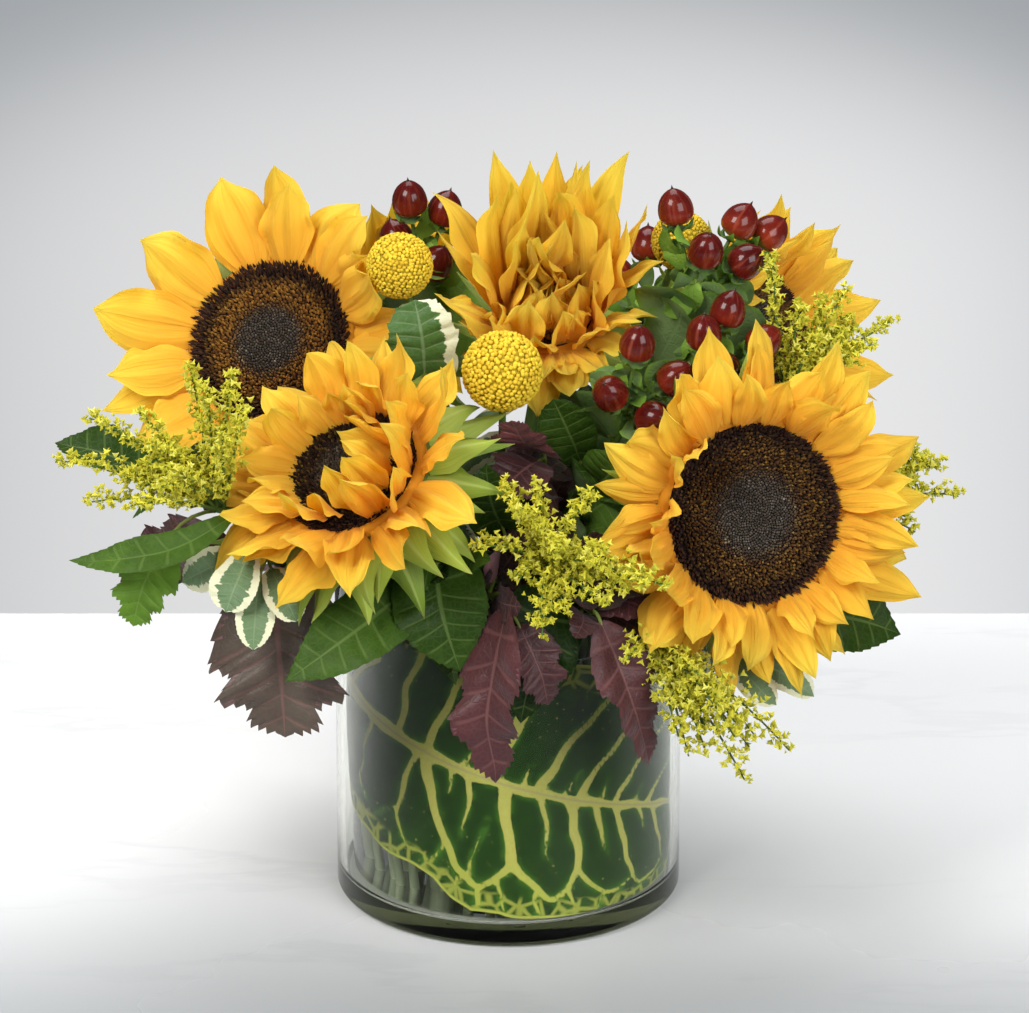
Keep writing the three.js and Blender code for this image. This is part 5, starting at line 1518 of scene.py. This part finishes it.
leafyStems = {
    "dark_leaves_left": leafy(
        "dark_leaf", "lobed", (-78, -58, 148), (-0.7, -0.6, 0.2),
        leaf((-84, -66, 146), (-80, -84, 92), (-0.25, -1, 0.25), 27, 4, 0.12),
        leaf((-100, -50, 150), (-140, -44, 138), (-0.2, -0.6, 1), 17, 5, 0.75)),
    "dark_leaves_front": leafy(
        "dark_leaf", "lobed", (-7, -68, 140), (0, -0.9, 0.3),
        leaf((0, -84, 142), (-10, -96, 78), (-0.75, -0.8, 0.1), 15, 4, 0.72,
             own={"twist": 1.7, "fold": 2.0}),
        leaf((4, -76, 132), (16, -84, 104), (0.4, -1, 0.2), 10, 2, 0.6)),
    "dark_leaves_right": leafy(
        "dark_leaf", "lobed", (30, -68, 134), (0.3, -0.9, 0.1),
        leaf((33, -78, 134), (51, -86, 82), (0.7, -1, 0.1), 12, 4, 0.66,
             own={"fold": 2.2, "twist": 0.7})),
    "dark_leaves_inner": leafy(
        "dark_leaf", "lobed", (12, -32, 178), (0, -0.6, 0.8),
        leaf((12, -38, 184), (0, -56, 200), (-0.3, -0.6, -0.5), 13, 2, 0.85),
        leaf((11, -40, 181), (-4, -60, 174), (0, -0.6, 1), 12, 3, 0.6)),
    "dark_leaves_back": leafy(
        "dark_leaf", "lobed", (-78, 66, 144), (-0.6, 0.7, 0.2),
        leaf((-82, 70, 142), (-100, 96, 108), (-0.6, 0.8, 0.4), 24, 5, 0.5),
        leaf((-60, 82, 134), (-52, 100, 96), (0, 1, 0.3), 20, 4, 0.5)),
    "green_leaves_front": leafy(
        "green_leaf", "heart", (-22, -62, 146), (-0.1, -0.8, 0.4),
        leaf((-24, -70, 150), (-12, -92, 114), (-0.1, -0.8, 0.7), 20, 5, 0.32),
        leaf((-38, -72, 142), (-79, -94, 119), (0, -0.7, 0.8), 14, 4, 0.55)),
    "green_leaves_left": leafy(
        "green_leaf", "lance", (-98, -48, 160), (-0.9, -0.5, 0.2),
        leaf((-98, -66, 170), (-155, -80, 162), (0.1, -0.8, 0.8), 7, 3, 0.6,
             own={"sway": 0.3, "fold": 2.0}),
        leaf((-120, -30, 168), (-163, -22, 184), (0.1, -0.5, 1), 11, 3, 0.4),
        leaf((-122, -64, 158), (-134, -80, 134), (-0.2, -0.9, 0.5), 12, 3, 0.72, kind="lobed")),
    "green_leaves_middle": leafy(
        "green_leaf", "heart", (4, -50, 150), (0, -0.6, 0.7),
        leaf((14, -66, 138), (6, -80, 96), (0.3, -1, 0.4), 15, 4, 0.05),
        leaf((-2, -56, 162), (-8, -62, 188), (-0.2, -1, 0), 10, 3, 0.3)),
    "green_leaves_inner": leafy(
        "green_leaf", "oval", (30, -34, 170), (0.2, -0.3, 0.9),
        leaf((30, -42, 172), (40, -60, 190), (0, -1, 0.2), 11, 2, 0.45),
        leaf((32, -34, 172), (56, -46, 184), (0.2, -0.6, 0.8), 10, 3, 0.7),
        leaf((26, -32, 178), (16, -44, 206), (0, -1, 0), 10, 2, 0.35)),
    "green_leaves_right": leafy(
        "green_leaf", "heart", (92, -30, 122), (0.9, -0.2, -0.1),
        leaf((100, -34, 120), (142, -38, 114), (0, -0.7, 0.8), 17, 5, 0.4),
        leaf((94, -14, 126), (128, 14, 128), (0.5, 0.1, 1), 16, 5, 0.5)),
    "green_leaves_back": leafy(
        "green_leaf", "heart", (34, 80, 144), (0.3, 0.8, 0.2),
        leaf((34, 86, 142), (38, 112, 108), (0.1, 0.8, 0.6), 20, 5, 0.5),
        leaf((54, 80, 144), (90, 98, 130), (0.4, 0.5, 1), 17, 4, 0.5),
        leaf((12, 86, 136), (-10, 110, 110), (-0.2, 0.8, 0.6), 18, 4, 0.5)),
    "green_leaves_left_back": leafy(
        "green_leaf", "heart", (-96, 36, 150), (-0.9, 0.3, 0.2),
        leaf((-100, 38, 148), (-142, 50, 128), (-0.5, 0.1, 1), 19, 5, 0.5),
        leaf((-96, 26, 158), (-134, 16, 160), (-0.2, -0.2, 1), 15, 4, 0.5)),
    "scalloped_leaf": leafy(
        "edged_leaf", "scalloped", (-30, -20, 204), (-0.1, -0.2, 1),
        leaf((-30, -22, 208), (-33, -24, 236), (0.1, -1, 0.2), 13, 2, 1.0)),
    "edged_leaves_left": leafy(
        "edged_leaf", "oval", (-88, -62, 152), (-0.7, -0.7, 0.2),
        leaf((-94, -68, 156), (-116, -74, 148), (-0.2, -1, 0.6), 8, 1, 0.5),
        leaf((-97, -64, 157), (-114, -76, 170), (-0.3, -1, 0.4), 8, 1, 0.4),
        leaf((-92, -72, 158), (-100, -88, 142), (-0.3, -1, 0.3), 9, 1, 0.3),
        leaf((-88, -76, 150), (-90, -94, 130), (0, -1, 0.4), 7, 1, 0.6),
        leaf((-84, -72, 152), (-74, -92, 140), (0.2, -1, 0.4), 7, 1, 0.4)),
    "edged_leaves_right": leafy(
        "edged_leaf", "oval", (78, -52, 116), (0.7, -0.5, -0.3),
        leaf((84, -56, 112), (110, -60, 99), (0, -0.8, 0.8), 7, 1, 0.5),
        leaf((82, -58, 112), (96, -72, 100), (0, -0.9, 0.6), 6, 1, 0.5),
        leaf((84, -50, 114), (108, -44, 106), (0, -0.4, 1), 6.5, 1, 0.5)),
    "edged_leaves_back": leafy(
        "edged_leaf", "oval", (84, 50, 140), (0.7, 0.6, 0.2),
        leaf((88, 54, 142), (112, 60, 146), (0.3, 0.5, 1), 7.5, 1, 0.5),
        leaf((88, 50, 138), (112, 42, 128), (0.6, 0.2, 1), 7.5, 1, 0.5),
        leaf((86, 56, 136), (100, 76, 124), (0.4, 0.8, 0.6), 7.5, 1, 0.5)),
}

leafShare = {"filler": 11, "stem": (1.7, 1.0),
             "inner": ("dark_leaves_inner", "green_leaves_inner", "green_leaves_middle",
                       "scalloped_leaf", "dark_leaves_front"),
             "first": ("dark_leaves_left", "dark_leaves_front", "green_leaves_front",
                       "green_leaves_left", "edged_leaves_left"),
             "full": ("green_leaves_right", "green_leaves_back", "green_leaves_left_back",
                      "edged_leaves_right", "edged_leaves_back")}


# Leaf looks: base colours by the leaf's own shade; colour and strength of veins and underside; the
# share of light that goes through with its two tints; the margin's colour, raggedness and place
leafLooks = {
    "dark_leaf": {
        "look": {"Specular IOR Level": 0.35, "Sheen Weight": 0.1},
        # the bronze grey of the lowest shade is partly the leaf's own bronze and partly painted
        # sheen
        "shades": [(0.0, (0.105, 0.082, 0.060)), (0.2, (0.060, 0.036, 0.028)),
                   (0.45, (0.032, 0.010, 0.010)), (0.75, (0.072, 0.019, 0.021)),
                   (1.0, (0.12, 0.028, 0.031))],
        "veinColour": (0.26, 0.11, 0.10, 0.45), "veins": 7, "underColour": (0.32, 0.14, 0.16, 0.85),
        "through": (0.10, (0.06, 0.03, 0.025), (0.12, 0.028, 0.031)),
    },
    "green_leaf": {
        "look": {"Specular IOR Level": 0.14},
        "shades": [(0.0, (0.007, 0.024, 0.003)), (0.35, (0.024, 0.058, 0.005)),
                   (0.55, (0.055, 0.115, 0.014)), (0.75, (0.12, 0.24, 0.025)),
                   (1.0, (0.26, 0.44, 0.06))],
        "veinColour": (0.26, 0.38, 0.10, 0.3), "veins": 7, "underColour": (0.17, 0.25, 0.11, 0.75),
        "through": (0.2, (0.015, 0.042, 0.005), (0.22, 0.38, 0.05)),
    },
    "edged_leaf": {
        "look": {"Specular IOR Level": 0.35},
        "shades": [(0.0, (0.07, 0.15, 0.05)), (0.5, (0.18, 0.28, 0.14)), (0.8, (0.07, 0.15, 0.03)),
                   (1.0, (0.06, 0.14, 0.025))],
        "veinColour": (0.40, 0.50, 0.28, 0.3), "veins": 6, "underColour": (0.35, 0.42, 0.26, 0.4),
        "through": (0.2, (0.14, 0.24, 0.09), (0.80, 0.80, 0.56)),
        "edge": ((0.80, 0.80, 0.56), 0.7, 0.62),
    },
}


def leafFinish(name, look, shades, veinColour, veins, underColour, through, edge=None):
    finish = Finish(name, look)
    u, v = finish.uv(0), finish.uv(1)
    tone, under, shade = finish.trait(0), finish.trait(1), finish.trait(2)
    away = abs(u - 0.5) * 2
    mottle = finish.noise(finish.place(), 90.0, 4)
    grain = finish.noise(finish.place(), 700.0, 3)
    base = finish.ramp(shade + (mottle - 0.5) * 0.35 + (tone - 0.5) * 0.2, *shades)
    line = abs((v * veins + 0.5).fraction() - 0.5)
    sideVein = (1 - line.step(0.02, 0.09 + 0.03 * away)) * (1 - away.step(0.75, 1.0))
    midrib = 1 - away.step(0.02, 0.075)
    small = finish.cellGap(finish.place(), 420.0).step(0.02, 0.16)
    vein = midrib.most(sideVein * 0.7).most((1 - small) * 0.15)
    colour = finish.mix(vein * veinColour[3], base, veinColour[:3])
    level = shade * shade
    if edge:  # the margin runs inwards in uneven fingers, on the deep green leaf along one side
        comb = finish.noise(finish.vector(v * 14 + tone * 40, away * 1.5), 1.0, 3)
        pale, uneven, inner = edge
        ragged = away + (comb - 0.5) * uneven
        held = 1 - shade.step(0.8, 0.9) * u.step(0.3, 0.5)
        level = ragged.step(inner, inner + 0.05) * held
        colour = finish.mix(level, colour, pale)
    colour = finish.mix(under * underColour[3], colour, underColour[:3])
    height = small * 0.25 + grain * 0.3 - vein * 0.7
    normal = finish.bump(height, 0.5, 0.35)
    share, *tints = through
    return finish.finished(colour, 0.36 + mottle * 0.2, normal, (share, level, *tints))


def makeLeafyStems(skins, green):
    for name, stem in leafyStems.items():
        made, stem["curve"] = stemTube(name, name, stem["end"], stem["aim"], *leafShare["stem"], 8,
                                       tone=0.3, skin=1)
        gather(f"{name}_spray", [made], [skins[stem["slot"]], green], stem["slot"], [name])


def makeLeaves():
    first = leafShare["first"]
    order = [*first, *(name for name in leafyStems if name not in first)]
    for name, stem, random in seeded({name: leafyStems[name] for name in order}, 900):
        curve = stem["curve"]
        for k, spec in enumerate(stem["leaves"]):
            attach = curve[int((len(curve) - 1) * (0.96 - 0.1 * k))]
            kind = spec.get("kind", stem["kind"])
            gather(f"{name}_spray", leafParts(name, kind, spec, attach, random))


def makeFillers():  # smaller leaves in the gaps, once all others stand
    for name, stem, random in seeded(leafyStems, 980):
        curve, inner = stem["curve"], name in leafShare["inner"]
        more = 2 if inner or name in leafShare["full"] else 1
        for _ in range(leafShare["filler"] * more):
            attach = curve[int((len(curve) - 1) * random.uniform(0.2, 1.0))]
            way = unit(attach * [1, 1, 0] * 0.8 + random.normal(size=3) * 30 + [0, 0, 10])
            length = random.uniform(18, 34)
            start = attach + way * random.uniform(3, 8)
            face = unit(attach * [1, 1, 0]) * 0.7 + [0, 0, 0.8] + random.normal(size=3) * 0.3
            spec = leaf(start, start + way * length, face, length * random.uniform(0.28, 0.4), 2.5,
                        random.uniform(0.1, 0.7))
            found = leafParts(name, stem["kind"], spec, attach, random, most=0, fine=0.45, tries=10)
            gather(f"{name}_spray", found)


# The stage: a pale marbled table in front of a light grey background, lit by soft lamps
studio = {
    "table": {"size": (2.4, 2.6), "backEdge": 0.26, "thick": 0.03}, "lampAim": (0, 0, 0.14),
    "camera": {"at": (0.0023, -2.4224, 1.0925), "aim": (0.0023, 0.0, 0.148), "lens": 249.57},
    "lamps": {
        "key": {"at": (-1.0, -1.1, 1.6), "size": 0.9, "power": 35, "colour": (1.0, 0.98, 0.95)},
        "fill": {"at": (1.3, -1.7, 1.2), "size": 1.4, "power": 41, "colour": (0.97, 0.98, 1.0)},
        "top": {"at": (-0.1, 0.7, 1.9), "size": 1.3, "power": 24, "colour": (1.0, 1.0, 1.0)},
    },
    "world": {"dark": (0.37, 0.39, 0.41), "pale": (0.75, 0.75, 0.755), "right": (0.86, 0.86, 0.865),
              "light": 0.86, "duller": 0.64, "level": 0.35, "wide": 0.075, "high": 0.06},
}


def makeTable():
    finish = Finish("table", {"Specular IOR Level": 0.4})
    where = finish.place()
    cloud = finish.noise(where, 3.0, 5)
    x, y = finish.coordinate(where, 0), finish.coordinate(where, 1)
    stretched = finish.vector(x * 0.7, y * 3.0)
    thread = abs(finish.noise(stretched, 3.0, 6, 0.6) - 0.5)
    vein = (1 - thread.step(0.0, 0.022)) * cloud.step(0.4, 0.6)
    colour = finish.mix(cloud, (0.86, 0.86, 0.86), (0.93, 0.93, 0.93))
    # towards the camera the table darkens: painted shade standing for the lamps' light falling off
    paintedNearShade = 1 - y.step(-0.17, 0.08)
    colour = finish.over(colour, (vein * 0.35, (0.62, 0.62, 0.64)),
                         (paintedNearShade * 0.95, (0.34, 0.355, 0.365)))
    material = finish.finished(colour, 0.22 + cloud * 0.1)
    width, depth = studio["table"]["size"]
    back, thick = studio["table"]["backEdge"], studio["table"]["thick"]
    x, front = width / 2, back - depth
    rim = [(-x, front), (x, front), (x, back), (-x, back)]
    points = [(*place, z) for z in (0, -thick) for place in rim]
    faces = [(0, 1, 2, 3), (7, 6, 5, 4), (0, 4, 5, 1), (1, 5, 6, 2), (2, 6, 7, 3), (3, 7, 4, 0)]
    mesh = bpy.data.meshes.new("table")
    mesh.from_pydata(points, [], faces)
    mesh.materials.append(material)
    show("table", mesh)


def lookAt(thing, aim):
    way = Vector(aim) - thing.location
    thing.rotation_euler = way.to_track_quat("-Z", "Y").to_euler()


def makeLights():
    for name, lamp in studio["lamps"].items():
        light = bpy.data.lights.new(name, "AREA")
        light.size, light.energy, light.color = lamp["size"], lamp["power"], lamp["colour"]
        holder = show(name, light)
        holder.location = lamp["at"]
        lookAt(holder, studio["lampAim"])
        holder.visible_transmission = False  # the glass's shadow already lets their light in
    world = bpy.data.worlds.new("studio")
    world.use_nodes = True
    bpy.context.scene.world = world
    # the background is pale above the table and darker towards its upper corners
    sky = Shader(world.node_tree)
    look = studio["world"]
    way = sky.node("ShaderNodeTexCoord", output="Generated")
    across = sky.coordinate(way, 0) / look["wide"]
    up = (sky.coordinate(way, 2) + look["level"]) / look["high"]
    far = (across * across * 0.4 + up * up * up.step(0.0, 1.0) * 0.75).step(0.0, 1.0)
    pale = sky.mix(across.step(-0.4, 1.2), look["pale"], look["right"])
    colour = sky.mix(far, pale, look["dark"])
    path = sky.node("ShaderNodeLightPath")
    bounced = (path.output("Diffuse Depth") + path.output("Glossy Depth")).step(0.0, 1.0)
    seen = path.output("Is Camera Ray").most(path.output("Is Transmission Ray") * (1 - bounced))
    strength = seen * (1 - look["light"]) + look["light"]
    strength = strength - path.output("Is Glossy Ray") * (1 - seen) * look["duller"]
    back = sky.tree.nodes["Background"]
    sky.link(colour, back.inputs["Color"])
    sky.link(strength, back.inputs["Strength"])


def makeCamera():
    camera = show("camera", bpy.data.cameras.new("camera"))
    camera.location = studio["camera"]["at"]
    lookAt(camera, studio["camera"]["aim"])
    camera.data.lens = studio["camera"]["lens"]
    camera.data.sensor_width = 36
    camera.data.clip_end = 20
    bpy.context.scene.camera = camera


makeVase()
makeWater()
makeLining()
print("vase, water and lining leaves", tally["triangles"])

petalSkin, discSkin, greenSkin = petalFinish(), discFinish(), stemFinish()
leafSkins = {name: leafFinish(name, **look) for name, look in leafLooks.items()}
stands = {name: (headFrame(head), headPlace(name)) for name, head in heads.items()}
for name, head in heads.items():
    makeDisc(name, head, *stands[name], discSkin)
    makeHeadStem(name, head, *stands[name], greenSkin)
makeButtons(greenSkin)
makeBerries([berryFinish(), greenSkin, leafSkins["green_leaf"]])
makeLeafyStems(leafSkins, greenSkin)
print("discs, button flowers, berries and stems")
for name, head in heads.items():
    makePetals(name, head, *stands[name], petalSkin)
print("petals", tally)
makeLeaves()
for name, head in heads.items():
    makeBracts(name, head, *stands[name])
print("leaves and bracts", tally)
makeGoldenrods([goldenrodFinish(), greenSkin])
makeBerryLeaves()
makeFillers()
print("goldenrod and small leaves", tally)
makeBundles()

makeTable()
makeLights()
makeCamera()
bpy.context.scene.view_settings.view_transform = "Standard"

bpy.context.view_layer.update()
print("triangles", tally["triangles"], "blades placed", len(placed))
